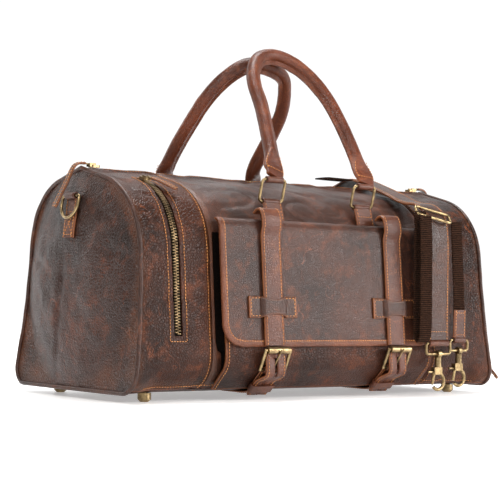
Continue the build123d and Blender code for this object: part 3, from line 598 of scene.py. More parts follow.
HIDE = leather("body_hide", (0.016, 0.0062, 0.0038), (0.064, 0.0205, 0.0105), (0.190, 0.056, 0.022),
               pebble=400.0, relief=0.6)
BAND_HIDE = leather("band_hide", (0.012, 0.0044, 0.0026), (0.060, 0.0185, 0.0090), (0.185, 0.052, 0.019),
                    gloss=0.33, shine=0.17)
END_HIDE = leather("end_hide", (0.013, 0.0054, 0.0036), (0.046, 0.0155, 0.0090), (0.170, 0.048, 0.020),
                   relief=1.1, gloss=0.33)
GRIP_HIDE = leather("grip_hide", (0.050, 0.0130, 0.0058), (0.150, 0.0370, 0.0145), (0.27, 0.080, 0.030),
                    pebble=330.0, relief=0.6, gloss=0.33, shine=0.30)
BASE_HIDE = leather("base_hide", (0.030, 0.0088, 0.0045), (0.075, 0.0215, 0.0092), (0.17, 0.050, 0.019),
                    shine=0.12)
# near black and without shine: painted shade for the deep recess at each side of the pocket
GUSSET_PAINTED_SHADE = leather("gusset_painted_shade", (0.0015, 0.0010, 0.0008), (0.0025, 0.0015, 0.0012),
                      (0.005, 0.003, 0.002), scuffs=0.1, gloss=0.8, shine=0.02)
STRAP_HIDE = leather("strap_hide", (0.046, 0.0140, 0.0070), (0.125, 0.0360, 0.0165), (0.25, 0.083, 0.034),
                     pebble=330.0, relief=0.6, gloss=0.34, shine=0.36)
KEEPER_HIDE = leather("keeper_hide", (0.024, 0.0092, 0.0056), (0.062, 0.0215, 0.0115), (0.15, 0.050, 0.022),
                      pebble=330.0, relief=0.6, gloss=0.34)
EDGE_HIDE = leather("edge_hide", (0.062, 0.0185, 0.0085), (0.155, 0.046, 0.018), (0.29, 0.100, 0.038),
                    pebble=330.0, relief=0.7, gloss=0.38)
PIPING_HIDE = leather("piping_hide", (0.024, 0.0088, 0.0052), (0.066, 0.0215, 0.0110), (0.18, 0.058, 0.026),
                      pebble=330.0, relief=0.5)
BRASS = metal("aged_brass", (0.34, 0.245, 0.125), (0.12, 0.082, 0.042))
TEETH_BRASS = metal("zip_brass", (0.22, 0.15, 0.080), (0.08, 0.053, 0.028), 0.38)
ZIP_CLOTH = cloth("zip_tape_cloth", (0.007, 0.005, 0.004), (0.022, 0.015, 0.011), 0.0012)
# the webbing's own dark brown, made darker still: partly painted shade for the shadow the webbing hangs in
WEBBING_DYE_AND_SHADE = cloth("webbing_cloth", (0.010, 0.0046, 0.0028), (0.062, 0.026, 0.014), 0.0025, rib=0.0009)
LINING_CLOTH = cloth("lining_cloth", (0.10, 0.075, 0.05), (0.18, 0.14, 0.10), 0.0010)
BOARD = cloth("base_board_grey", (0.10, 0.09, 0.08), (0.16, 0.15, 0.13), 0.004)
THREAD = thread("gold_thread", (0.36, 0.125, 0.032), (0.62, 0.26, 0.072))


# ---- the body's skin -----------------------------------------------------------------------------
WALL_TOP = (-SHOULDER_Y - SHOULDER_RADIUS * cos(WALL_SLOPE), SHOULDER_Z + SHOULDER_RADIUS * sin(WALL_SLOPE))
TOP_POINT = (-SHOULDER_Y - SHOULDER_RADIUS * sin(TOP_SLOPE), SHOULDER_Z + SHOULDER_RADIUS * cos(TOP_SLOPE))
RIDGE_Z = TOP_POINT[1] - TOP_POINT[0] * tan(TOP_SLOPE)
END_MIDDLE_Z = 140.0                      # middle of the end panels
WALL_X = 250.0                            # clear of the round ends, where the outline changes
SPAN_LENGTHS = (58, 114, 122, 67, 92)     # of the five stretches that t counts, from ridge to middle


def eased(value, low, high):
    share = np.clip((value - low) / (high - low), 0, 1)
    return share * share * (3 - 2 * share)


def end_x(z):
    share = z / LEAN_HEIGHT
    return BASE_HALF_LENGTH - END_LEAN * share + END_LEAN_BACK * share**2


def outline(t, x):
    """Points (y, z) and outward normals of the front half's outline at t, 0 at the ridge to 5."""
    t, x = np.broadcast_arrays(np.asarray(t, float), np.asarray(x, float))
    radius = BASE_CORNER + (END_CORNER - BASE_CORNER) * eased(np.abs(x), 246, 287)
    centre_z = UNDERSIDE_Z + radius
    run = (WALL_TOP[1] - radius * sin(WALL_SLOPE) - centre_z) / cos(WALL_SLOPE)
    centre_y = WALL_TOP[0] + radius * cos(WALL_SLOPE) - run * sin(WALL_SLOPE)
    u = np.clip(t - np.floor(t), 0, 1)
    u = np.where(t >= 5, 1.0, u)
    part = np.clip(np.floor(t), 0, 4)
    turn = TOP_SLOPE + (pi / 2 - WALL_SLOPE - TOP_SLOPE) * u
    bend = WALL_SLOPE - (pi / 2 + WALL_SLOPE) * u
    corner_y, corner_z = centre_y - radius * cos(WALL_SLOPE), centre_z + radius * sin(WALL_SLOPE)
    choose = [part == k for k in range(5)]
    y = np.select(choose, [TOP_POINT[0] * u, -SHOULDER_Y - SHOULDER_RADIUS * np.sin(turn),
                           WALL_TOP[0] + (corner_y - WALL_TOP[0]) * u,
                           centre_y - radius * np.cos(bend), centre_y * (1 - u)])
    z = np.select(choose, [RIDGE_Z + (TOP_POINT[1] - RIDGE_Z) * u,
                           SHOULDER_Z + SHOULDER_RADIUS * np.cos(turn),
                           WALL_TOP[1] + (corner_z - WALL_TOP[1]) * u,
                           centre_z + radius * np.sin(bend), UNDERSIDE_Z + 0 * u])
    ny = np.select(choose, [-sin(TOP_SLOPE) + 0 * u, -np.sin(turn), -cos(WALL_SLOPE) + 0 * u,
                            -np.cos(bend), 0 * u])
    nz = np.select(choose, [cos(TOP_SLOPE) + 0 * u, np.cos(turn), sin(WALL_SLOPE) + 0 * u,
                            np.sin(bend), -1 + 0 * u])
    return y, z, ny, nz


def sag(x, y, z, front=True):
    """How far the leather stands off its pattern: broad puffs, finer creases, dips at the seams."""
    points = np.stack([x, y if front else -y + 400, z], -1)
    flat = points.reshape(-1, 3)
    value = 1.9 * rough(flat, 75, 3) + 0.7 * rough(flat, 24, 5)
    creases = np.abs(rough(flat * (0.5, 1, 1), 38, 8, 1))
    value += 1.7 * np.minimum(creases, 0.14) / 0.14 - 1.7
    value = value.reshape(np.shape(x))
    near_seam = np.abs(np.abs(x) - BAND_SEAM_X)
    value = value * np.clip(near_seam / 14, 0.25, 1) - 1.5 * np.exp(-(near_seam / 3.2) ** 2)
    near_end = np.abs(np.abs(x) - end_x(z))
    value = value * np.clip(near_end / 14, 0.2, 1) - 0.8 * np.exp(-(near_end / 4) ** 2)
    beside_slot = (np.abs(y) - 8.0) / 3.4
    return value + np.where(z > 255, 1.9 * np.exp(-(beside_slot**2)), 0.0)


def steps(low, high, step):
    """Values of t between two, about step millimetres apart along the outline."""
    values = []
    for part, length in enumerate(SPAN_LENGTHS):
        a, b = max(low, part), min(high, part + 1)
        if b - a > 1e-4:
            values += list(np.linspace(a, b, max(2, int((b - a) * length / step) + 1), endpoint=False))
    return np.array(values + [high])


def on_shell(t, x, out=0.0, front=True, bumpy=True):
    """Points and normals on the bag's wall at t and x."""
    y, z, ny, nz = outline(t, x)
    if bumpy:
        out = out + sag(np.broadcast_to(x, y.shape), y, z, front)
    y, z = y + ny * out, z + nz * out
    turn = 1 if front else -1
    points = np.stack([np.broadcast_to(x, y.shape), turn * y, z], -1)
    return points, np.stack([np.zeros_like(y), turn * ny, nz], -1)


def panel(name, cad, knots, front=True, hole=None, material=None, step=3.6):
    """A wall panel: knots gives the X of its sides, and of a slot's, at height z; hole the slot's t."""
    t = steps(SLOT_T, SEAM_T, step)
    z = outline(t, WALL_X)[1]
    sides = np.array([knots(h) for h in z])
    counts = [max(3, int(abs(b - a) / step)) for a, b in zip(sides[0], sides[0][1:])]
    share = np.concatenate([np.linspace(k, k + 1, n, endpoint=False) for k, n in enumerate(counts)])
    share = np.append(share, len(counts))
    x = np.array([np.interp(share, range(len(row)), row) for row in sides])
    points, normals = on_shell(np.repeat(t[:, None], x.shape[1], 1), x, 0.0, front)

    def kept(i, j):
        middle = (share[j] + share[j + 1]) / 2
        return not (hole and hole[0] < (t[i] + t[i + 1]) / 2 < hole[1] and 1 < middle < 2)

    faces = grid_faces(*x.shape, keep=kept)
    flat = points.reshape(-1, 3)
    outward = normals.reshape(-1, 3)[faces[0][0]]
    verts, faces = skirted(flat, facing(flat, faces, outward), WALL_SKIRT)
    return piece(name, verts, faces, material or HIDE, "root", "body_leather", [cad], rubbed(verts))


def rubbed(points):
    """Wear of the leather beside the seams and the piping."""
    x, z = np.abs(points[:, 0]), points[:, 2]
    seams = np.minimum(np.abs(x - BAND_SEAM_X), np.abs(x - end_x(z)))
    seams = np.minimum(seams, np.abs(z - 20.0) + 2)
    return 0.30 * np.exp(-(seams / 6.0) ** 2) * np.clip(0.7 + rough(points, 22, 17), 0, 1)


def down_wall(x, t_range, step=2.5, out=STITCH_OUT, front=True, bumpy=True):
    """A line down the outline at x, with its normals."""
    t = steps(*t_range, step)
    return on_shell(t, np.full(len(t), x), out, front, bumpy)


def along_bag(t, half, count, out=STITCH_OUT, front=True):
    """A line along the bag at one height of its outline, with its normals."""
    return on_shell(np.full(count, t), np.linspace(-half, half, count), out, front)


def build_walls():
    gap = 0.5
    rows = []
    for front in (True, False):
        side = "front" if front else "back"
        panel(side + "_centre_skin", side + "_center_panel",
              lambda z: (-BAND_SEAM_X + gap, BAND_SEAM_X - gap), front)
        for sign, which in SIDES:
            slot = front and sign < 0

            def knots(z, sign=sign, slot=slot):
                first, last = sign * (BAND_SEAM_X + gap), sign * (end_x(z) - 1.2)
                if slot:
                    return (first, SIDE_ZIP_X + SIDE_SLOT_HALF, SIDE_ZIP_X - SIDE_SLOT_HALF, last)
                return (first, last)

            panel(f"{side}_{which}_band_skin", f"{side}_{which}_band", knots, front,
                  SIDE_SLOT_T if slot else None, BAND_HIDE)
            rows.append(down_wall(sign * (BAND_SEAM_X + SEAM_OFFSET), (0.3, 3.9), front=front))
        beside_zip = along_bag(SLOT_T + 0.07, 258, 200, front=front)
        rows += [beside_zip, beside_zip]    # laid twice, which shades this row a little darker
    stitch_rows("wall_stitches", rows)


def both_halves(t, inset, count, out, slack=None):
    """A grid over the front and back at the given t, stopping inset short of the end panels."""
    x = (end_x(outline(t, WALL_X)[1])[:, None] - inset) * np.linspace(-1, 1, count)
    halves = []
    for front in (True, False):
        points, normals = on_shell(np.repeat(t[:, None], count, 1), x, out, front, bumpy=False)
        if slack is not None:
            points = points + normals * slack(points.reshape(-1, 3)).reshape(*points.shape[:2], 1)
        halves.append(points if front else points[::-1][1:])
    return np.concatenate(halves)


def build_base():
    """Bottom panel in redder leather, turned up at the edges, with a line of edge colour above it."""
    grid = both_halves(steps(SEAM_T + 0.03, 5.0, 4.0), 1.0, 150, 0.2)
    faces = grid_faces(*grid.shape[:2])
    flat = grid.reshape(-1, 3)
    verts, faces = skirted(flat, facing(flat, faces, np.array([0.0, -1, 0])), END_SKIRT)
    piece("bottom_skin", verts, faces, BASE_HIDE, "root", "body_leather", ["bottom_panel"])
    rows = [along_bag(SEAM_T - 0.07, 268, 260, front=front) for front in (True, False)]
    stitch_rows("base_stitches", rows)
    for front, which in ((True, "front"), (False, "back")):
        path, _ = along_bag(SEAM_T + 0.015, 284, 200, -0.3, front)
        verts, faces = sweep(path, circle(1.3, 8), (0, 0, 1))
        piece(which + "_base_edge", verts, faces, EDGE_HIDE, slot="edge_leather")


def end_ring(inset, step=3.0):
    """The whole outline as a closed loop of (y, z), at the end's corner radius."""
    y, z, ny, nz = outline(steps(0.0, 5.0, step), 285.0)
    front = np.column_stack([y - ny * inset, z - nz * inset])
    return np.concatenate([front, front[::-1][1:-1] * (-1, 1)])


def from_middle(y, z):
    """0 at the middle of an end panel, about 1 at its edge."""
    return np.hypot(y / 128, (z - END_MIDDLE_Z) / np.where(z > END_MIDDLE_Z, 137, 129))


def dent(value, centre, width, depth):
    """Depth of a soft crease that follows value = centre."""
    return depth * np.exp(-(((value - centre) / width) ** 2))


def swell(y, z, left):
    """How far an end panel stands out past its seam: the left one is swollen and creased."""
    reach = np.clip(from_middle(y, z), 0, 1)
    if not left:
        return 4.2 * (1 - reach**3) * eased(z, 84, 150)
    flat = np.stack([0 * y + 9, y, z], -1).reshape(-1, 3)
    soft = 1 - reach**4
    value = 21.0 * (1 - reach**2.6)
    value = value + soft * (2.6 * rough(flat, 58, 4) + 1.1 * rough(flat, 24, 9)).reshape(np.shape(y))
    value = value - dent(y + (z - 120) * 0.10, 20, 6.5, 2.6 * soft * (1 - eased(z, 150, 190)))
    for low, lean, start in ((205, 0.35, -30), (172, 0.15, -45), (72, -0.45, -25), (46, -0.2, -40)):
        faded = 1 - eased(y, start - 50, start)
        value = value - dent(z - lean * (y + 100), low, 6.0, 4.2 * soft * faded)
    return value - dent(z - 0.35 * (y - 100), 168, 7.0, 3.0 * soft * eased(y, 30, 90))


def build_end(sign, name, cad):
    """An end panel: rings from its seam in to its middle, which is one point."""
    left = sign < 0
    ring = end_ring(3.0)
    centre = np.array([0.0, END_MIDDLE_Z])

    def row(yz):
        x = end_x(yz[:, 1]) - 0.6 + swell(yz[:, 0], yz[:, 1], left)
        return np.column_stack([sign * x, yz])

    levels = np.linspace(1, 0, 34)[:-1] ** 0.85
    grid = [row(centre + (ring - centre) * level) for level in levels]
    count, rows = len(ring), len(grid)
    faces = grid_faces(rows, count, False, True)
    last = (rows - 1) * count
    faces += [[last + k, last + (k + 1) % count, rows * count] for k in range(count)]
    flat = np.concatenate([*grid, row(centre[None])])
    verts, faces = skirted(flat, facing(flat, faces, np.array([sign, 0.0, 0])), END_SKIRT)
    near_edge = eased(from_middle(verts[:, 1], verts[:, 2]), 0.90, 1.0)
    wear = 0.26 * near_edge * np.clip(0.7 + rough(verts, 24, 18), 0, 1)
    piece(name, verts, faces, END_HIDE, "root", "body_leather", [cad], wear)


def build_piping():
    parts = []
    for sign in (-1, 1):
        ring = end_ring(0.4, 4.0)
        kink = 0.8 * rough(np.column_stack([0 * ring[:, 0] + sign * 50, ring]), 30, 6)
        path = np.column_stack([sign * (end_x(ring[:, 1]) - 0.1 + kink), ring])
        parts.append(sweep(path, circle(2.65, 12), (1, 0, 0), closed=True))
    verts, faces = join(parts)
    piece("piping_cords", verts, faces, PIPING_HIDE, "root", "strap_leather", ["end_piping"])


build_walls()
build_base()
build_end(-1, "left_end_skin", "left_end_panel")
build_end(1, "right_end_skin", "right_end_panel")
build_piping()


# ---- zips ----------------------------------------------------------------------------------------
TOOTH_PITCH, TOOTH_REACH, TOOTH_LENGTH, TOOTH_HIGH = 3.4, 4.8, 1.5, 1.8
TAPE_THICK = 0.9


def tooth_block(centre, ahead, side, up):
    """One tooth: a block a little narrower on top."""
    corners = []
    for level, share in ((0.0, 1.0), (TOOTH_HIGH * 0.7, 1.0), (TOOTH_HIGH, 0.72)):
        for a, s in ((-1, -1), (1, -1), (1, 1), (-1, 1)):
            corners.append(centre + ahead * a * TOOTH_LENGTH / 2 * share + side * s * TOOTH_REACH / 2 * share
                           + up * level)
    return np.array(corners), grid_faces(3, 4, False, True) + [[3, 2, 1, 0], [8, 9, 10, 11]]


def zip_teeth(name, path, normals, cad):
    """Two rows of metal teeth, meshed along a path that lies at their feet."""
    path = np.asarray(path, float)
    parts = []
    for sign, start in ((-1, 0.0), (1, 0.5)):
        even = resample(path, TOOTH_PITCH)
        ahead = tangents(even)
        for k in range(len(even) - 1):
            point = even[k] + (even[k + 1] - even[k]) * start
            up = unit(normals[np.argmin(((path - point) ** 2).sum(1))])
            across = unit(np.cross(up, ahead[k]))
            parts.append(tooth_block(point + across * sign * 1.5, ahead[k], across, up))
    verts, faces = join(parts)
    obj = piece(name, verts, faces, TEETH_BRASS, "root", "antique_brass", [cad])
    for polygon in obj.data.polygons:
        polygon.use_smooth = False
    return obj


def tape(name, path, normals, half, cad):
    path, normals = np.asarray(path, float), np.asarray(normals, float)
    side = np.cross(tangents(path), normals)
    verts, faces = sweep(path, strap_profile(half, TAPE_THICK, 0.0, 13), side)
    return piece(name, verts, faces, ZIP_CLOTH, "root", "zip_cloth", [cad])


def build_zips():
    x = np.linspace(-270, 270, 200)
    ridge = np.column_stack([x, 0 * x, 0 * x + RIDGE_Z])
    up = np.tile((0.0, 0, 1), (len(x), 1))
    tape("main_tape", ridge - up * 3.9, up, 10.0, "main_zip_tape")
    zip_teeth("main_teeth", ridge - up * 3.0, up, "main_zip_teeth")
    top, foot = SIDE_SLOT_T
    line = down_wall(SIDE_ZIP_X, (top - 0.03, foot + 0.03), 3.0, -3.4, bumpy=False)
    tape("side_tape", *line, 9.6, "side_zip_tape")
    line = down_wall(SIDE_ZIP_X, (top + 0.01, foot - 0.015), 3.0, -1.9, bumpy=False)
    zip_teeth("side_teeth", *line, "side_zip_teeth")
    edge = SIDE_STITCH_HALF
    sewn = (top + 0.02, foot + 0.045)
    rows = [down_wall(SIDE_ZIP_X + sign * edge, sewn) for sign in (-1, 1)]
    x = np.linspace(SIDE_ZIP_X - edge, SIDE_ZIP_X + edge, 12)
    rows += [on_shell(np.full(12, t), x, STITCH_OUT) for t in sewn[::-1]]
    stitch_rows("side_zip_stitches", rows)
    build_end_zip()


def build_end_zip():
    """Zip of the pocket in the right end, lying on the end panel."""
    count = 90
    y = np.linspace(-118, 118, count)

    def line_at(height, out):
        return np.column_stack([end_x(np.full(count, height)) + out, y, np.full(count, height)])

    out = np.tile(unit((1.0, 0, 0.13)), (count, 1))
    line = line_at(58.0, 0.2)
    tape("end_tape", line, out, 10.5, "end_zip_tape")
    zip_teeth("end_teeth", line + out * 1.3, out, "end_zip_teeth")
    for k, height in enumerate((67.5, 48.5)):
        path = line_at(height, 0.9)
        verts, faces = sweep(path, strap_profile(4.6, 1.6, 0.3), (0, 0, -1))
        piece(f"end_zip_welt_{k}", verts, faces, HIDE, slot="body_leather")
        stitch_rows(f"end_zip_stitches_{k}", [(path + (2.0, 0, 0), (1.0, 0, 0.1))])


# ---- pocket and flap -----------------------------------------------------------------------------
POCKET_HALF, POCKET_TOP, POCKET_LOW = 167.5, 194.0, 46.0
SLANT_Y, SLANT_Z = -114.0, 9.6


def flap_face(z, offset=0.0):
    """Y of the flap's outer face at height z, offset outwards."""
    share = (z - FLAP_LOW[1]) / (FLAP_TOP[1] - FLAP_LOW[1])
    return FLAP_LOW[0] + share * (FLAP_TOP[0] - FLAP_LOW[0]) - offset


def slant(along, offset=0.0):
    """Point of the pocket's underside, which rises at 45 degrees from the base."""
    root = sqrt(0.5)
    return (SLANT_Y - root * along - root * offset, SLANT_Z + root * along - root * offset)


def in_plane(points, x=0.0):
    return np.array([(x, y, z) for y, z in points])


def sheet_of(path, half_at, thick, count, bulge):
    """A sheet along a YZ path, from -half to half in X: outer face, then its back, closed round."""
    path = np.asarray(path, float)
    _, normal = frames(path, (-1, 0, 0))
    share = np.linspace(1, -1, count)
    outer, inner = [], []
    for i, p in enumerate(path):
        half = half_at(i)
        row = p + np.outer(share * half, (-1, 0, 0))
        lift = bulge(row)[:, None]
        outer.append(row + normal[i] * lift)
        inner.append(row + normal[i] * (lift - thick))
    outer, inner = np.array(outer), np.array(inner)
    rows = len(path)
    verts = np.concatenate([outer.reshape(-1, 3), inner.reshape(-1, 3)])
    total = rows * count
    faces = grid_faces(rows, count)
    faces += [[total + i for i in f[::-1]] for f in grid_faces(rows, count)]
    for i in range(rows - 1):
        a, b = i * count, (i + 1) * count
        faces.append([b, a, total + a, total + b])
        a, b = a + count - 1, b + count - 1
        faces.append([a, b, total + b, total + a])
    for j in range(count - 1):
        faces.append([j + 1, j, total + j, total + j + 1])
        k = (rows - 1) * count + j
        faces.append([k, k + 1, total + k + 1, total + k])
    wear = np.zeros((2, rows, count))
    wear[:, :, [0, -1]] = 1
    wear[:, [0, -1], :] = 1
    return verts, faces, wear.ravel()


def pocket_path():
    """The pocket's face in YZ: down under the flap, round its lower edge and in along the underside."""
    top = [(flap_face(z, -4.4), z) for z in np.linspace(POCKET_TOP, POCKET_LOW + 9, 44)[::4]]
    turn = (flap_face(POCKET_LOW + 3, -5.6), POCKET_LOW + 3)
    low = [slant(a) for a in np.linspace(41, 3, 14)[::3]]
    return resample(smooth(in_plane([*top, turn, *low]), 2.0), 2.6)


def build_pocket():
    path = pocket_path()

    def bulge(row):
        return 0.7 * rough(row, 55, 12) + 0.35 * rough(row, 17, 13)

    verts, faces, wear = sheet_of(path, lambda i: POCKET_HALF, 2.0, 90, bulge)
    piece("pocket_face", verts, faces, BAND_HIDE, "root", "body_leather", ["front_pocket"], wear * 0.55)
    _, normal = frames(path, (-1, 0, 0))
    inside = POCKET_HALF - SEAM_OFFSET
    rows = [(path + (s * inside, 0, 0) + normal * 0.4, normal) for s in (-1, 1)]
    x = np.linspace(-POCKET_HALF + 5, POCKET_HALF - 5, 200)
    top = np.column_stack([x, np.full(200, path[2][1] - 0.4), np.full(200, path[2][2])])
    rows.append((top, (0.0, -1, 0)))
    stitch_rows("pocket_stitches", rows)
    for s, which in SIDES:
        build_gusset(path, s, which)


def build_gusset(path, sign, which):
    """Side wall of the pocket, from its face back and outwards to the bag's wall, near black and matte: painted shade
    for the deep gap between the pocket and the band seam.
    """
    columns, top_z, turn_z, spread = 14, 201, 60, 11.0
    share = np.linspace(0, 1, columns)
    grid = []
    for _, face_y, z in np.vstack([(0.0, flap_face(top_z, -4.4), top_z), path]):
        wall_y = -118.0
        if z > turn_z:
            wall_y = min(WALL_TOP[0] - (WALL_TOP[1] - z) * tan(WALL_SLOPE), -121.0)
        near = face_y + 2.2
        # it spreads outwards nearly to the band seam, so its painted shade fills the gap between the pocket and the
        # seam
        x = sign * (POCKET_HALF - 3.5 + spread * float(eased(z, 30, 75)) * share)
        y = near + (max(wall_y, face_y + 3) - near) * share
        grid.append(np.column_stack([x, y, np.full(columns, z)]))
    flat = np.array(grid).reshape(-1, 3)
    verts, faces = skirted(flat, grid_faces(len(grid), columns), 1.2)
    piece(f"pocket_gusset_{which}", verts, faces, GUSSET_PAINTED_SHADE, slot="body_leather")


def flap_path():
    """Middle of the flap's outer face in YZ, from its seam over the rolled top and down."""
    points = [(-124.4, 219.2), (-129.5, 218.4), (-134.2, 215.0), (-137.3, 209.5)]
    points += [(flap_face(z), z) for z in (203, 185, 165, 145, 125, 105, 90, 78, FLAP_LOW[1])]
    return resample(smooth(in_plane(points), 1.5), 2.2)


def flap_half(path):
    """Half width of the flap at each row: its lower corners are round."""
    run = run_of(path)
    inside = np.clip(FLAP_CORNER - (run[-1] - run), 0, FLAP_CORNER)
    return FLAP_HALF - (FLAP_CORNER - np.sqrt(np.maximum(FLAP_CORNER**2 - inside**2, 0)))


def flap_bulge(row):
    fall = eased(row[:, 2], 214, 196)
    edge = np.clip((FLAP_HALF - np.abs(row[:, 0])) / 30, 0, 1)
    wave = 0.9 * rough(row, 70, 15) + 0.4 * rough(row, 20, 16)
    return fall * (wave * edge - 0.2)


def build_flap():
    path = flap_path()
    half = flap_half(path)
    rows = [i for i in range(len(path)) if half[i] > FLAP_HALF - FLAP_CORNER + 0.5]
    thick = FLAP_THICK - 0.8
    verts, faces, wear = sheet_of(path[rows], lambda i: half[rows[i]] - 0.6, thick, 110, flap_bulge)
    piece("flap_skin", verts, faces, HIDE, "flap", "body_leather", ["flap_panel"], wear)
    build_binding(path, half)


def build_binding(path, half):
    """Raw-edged strip folded round the flap's sides and lower edge, with its row of stitches."""
    _, normal = frames(path, (-1, 0, 0))
    rows = range(2, len(path))
    low = np.linspace(-half[-1] + 2.5, half[-1] - 2.5, 110)
    border = [path[i] + (-half[i], 0, 0) for i in rows]
    border += [path[-1] + (x, 0, 0) for x in low]
    border += [path[i] + (half[i], 0, 0) for i in reversed(rows)]
    border = np.array(border)
    out = np.array([*normal[2:], *[normal[-1]] * len(low), *normal[2:][::-1]])
    keep = np.concatenate([[True], np.linalg.norm(np.diff(border, axis=0), axis=1) > 0.3])
    border, out = border[keep], out[keep]
    inward = unit(np.cross(out, tangents(border)))
    lift = np.array([float(flap_bulge(p[None])[0]) for p in border])[:, None]
    wide = 8.0
    profile = np.array([(wide, 0.05), (wide - 0.4, 0.75), (4.0, 1.0), (0.8, 0.85), (-0.2, 0.2), (-0.6, -1.2),
                        (-0.2, -2.9), (0.8, -3.2), (wide - 0.4, -3.0), (wide, -2.4), (wide - 1, -1.3)])
    verts = (border[:, None] + profile[None, :, :1] * inward[:, None]
             + (profile[None, :, 1:] + lift[:, None]) * out[:, None])
    count = len(profile)
    faces = grid_faces(len(border), count, False, True)
    faces += [list(range(count))[::-1], [(len(border) - 1) * count + i for i in range(count)]]
    piece("flap_edge", verts.reshape(-1, 3), faces, EDGE_HIDE, "flap", "edge_leather", ["flap_binding"])
    stitch_rows("flap_stitches", [(border + inward * 6.4 + out * (lift + 0.8), out)], "flap")


def build_flap_straps():
    """Each strap is sewn above the flap, arches over its rolled top and lies down its front."""
    points = [(-125.4, 225.4), (-130.5, 229.2), (-136.6, 228.8), (-140.6, 221.0), (-141.6, 211.0)]
    points += [(flap_face(z, 0.9), z) for z in (200, 175, 150, 125, 100, 82, 67)]
    path = resample(smooth(in_plane(points), 1.5), 1.9)
    start, end = place((0, -126.5, 231))[0], place((0, -141.5, 210))[0]
    sewn = STRAP_HALF - STRAP_SEAM
    for sign, which in SIDES:
        x = sign * STRAP_X
        name = f"flap_strap_{which}"
        strap(name, path + (x, 0, 0), (-1, 0, 0), STRAP_HALF, STRAP_THICK - 0.3, STRAP_HIDE,
              None, "strap_leather", ["flap_straps"], (-sewn, sewn), seed=20 + x / 50)
        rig.blend(bpy.data.objects[name], "root", "flap", start, end)
        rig.blend(bpy.data.objects[name + "_stitches"], "root", "flap", start, end)


def build_keepers():
    """Bow-tie patches: sewn flat each side of the strap, with a narrower bridge over it."""
    lean = atan2(FLAP_LOW[0] - FLAP_TOP[0], FLAP_TOP[1] - FLAP_LOW[1])
    out = np.array([0.0, -cos(lean), -sin(lean)])
    down = np.array([0.0, sin(lean), -cos(lean)])
    shares = np.linspace(-36, 36, 60)
    over = 1 - eased(np.abs(shares), 15.6, 18.4)
    waist = KEEPER_HALF - 4.0 * (1 - eased(np.abs(shares), 6, 21))
    scale = np.column_stack([waist / KEEPER_HALF, np.ones(60)])
    profile = strap_profile(KEEPER_HALF, 1.7, 0.3)
    wear = strap_wear(60, profile, KEEPER_HALF)
    wear[: len(profile) * 2] = 1
    wear[-len(profile) * 2:] = 1
    for sign, which in SIDES:
        middle = np.array([sign * STRAP_X, flap_face(KEEPER_Z), KEEPER_Z])
        path = middle + np.outer(shares, (1, 0, 0)) + out * (0.3 + 4.6 * over)[:, None]
        verts, faces = sweep(path, profile, down, scale=scale)
        piece(f"keeper_{which}", verts, faces, KEEPER_HIDE, "flap", "strap_leather", ["flap_keepers"], wear)
        rows = []
        for s in (-1, 1):
            a, b, h = 18.6 * s, 33.4 * s, 10.6
            corners = [(a, -h), (b, -h), (b, h), (a, h), (a, -h)]
            loop = [middle + (u, 0, 0) - down * v + out * 2.3 for u, v in corners]
            rows += [(np.linspace(p, q, 12), out) for p, q in zip(loop, loop[1:])]
        stitch_rows(f"keeper_stitches_{which}", rows, "flap")


build_zips()
build_pocket()
build_flap()
build_flap_straps()
build_keepers()


# ---- buckles -------------------------------------------------------------------------------------
CHAPE_THICK, CHAPE_BAR, CHAPE_BAR_OUT = 2.4, 45.0, 4.7
BAR = slant(CHAPE_BAR, CHAPE_BAR_OUT)


def ring_fold(name, centre, half, body, axis=(1, 0, 0), hole=2.35, gap=0.0):
    """Leather folded round a ring's bar: a short thick tube, in two parts if a prong needs a gap."""
    thick = 1.7
    axis = unit(axis)
    first = unit(np.cross(axis, (0.0, 0.3, 1)))
    second = np.cross(axis, first)
    turn = np.linspace(0, 2 * pi, 20, endpoint=False)[:, None]
    round_path = np.asarray(centre, float) + (first * np.cos(turn) + second * np.sin(turn)) * hole
    spans = [(-half, half)] if not gap else [(-half, -gap), (gap, half)]
    parts = []
    for low, high in spans:
        profile = np.array(strap_profile((high - low) / 2, thick, 0.0, 7)) + ((low + high) / 2, 0)
        parts.append(sweep(round_path[::-1], profile, axis, closed=True))
    verts, faces = join(parts)
    return piece(name, verts, faces, STRAP_HIDE, body, "strap_leather")


def build_chape(x, which):
    """The strap that holds a buckle's bar, from under the bag round its lower edge."""
    flat = UNDERSIDE_Z - 0.5
    under = [(-62.0, flat), (-88.0, flat), (-104.0, flat - 0.1),
             slant(4, 0.5), slant(16, 0.4), slant(30, 0.4), slant(43, 0.5)]
    path = resample(smooth(in_plane(under, x), 2), 2.6)
    strap(f"chape_{which}", path, (1, 0, 0), STRAP_HALF - 1, CHAPE_THICK - 0.3, STRAP_HIDE,
          "root", "strap_leather", ["buckle_chapes"], (-10.6, 10.6), seed=31)
    ring_fold(f"chape_fold_{which}", (x, *BAR), STRAP_HALF - 1, "root", gap=3.0)


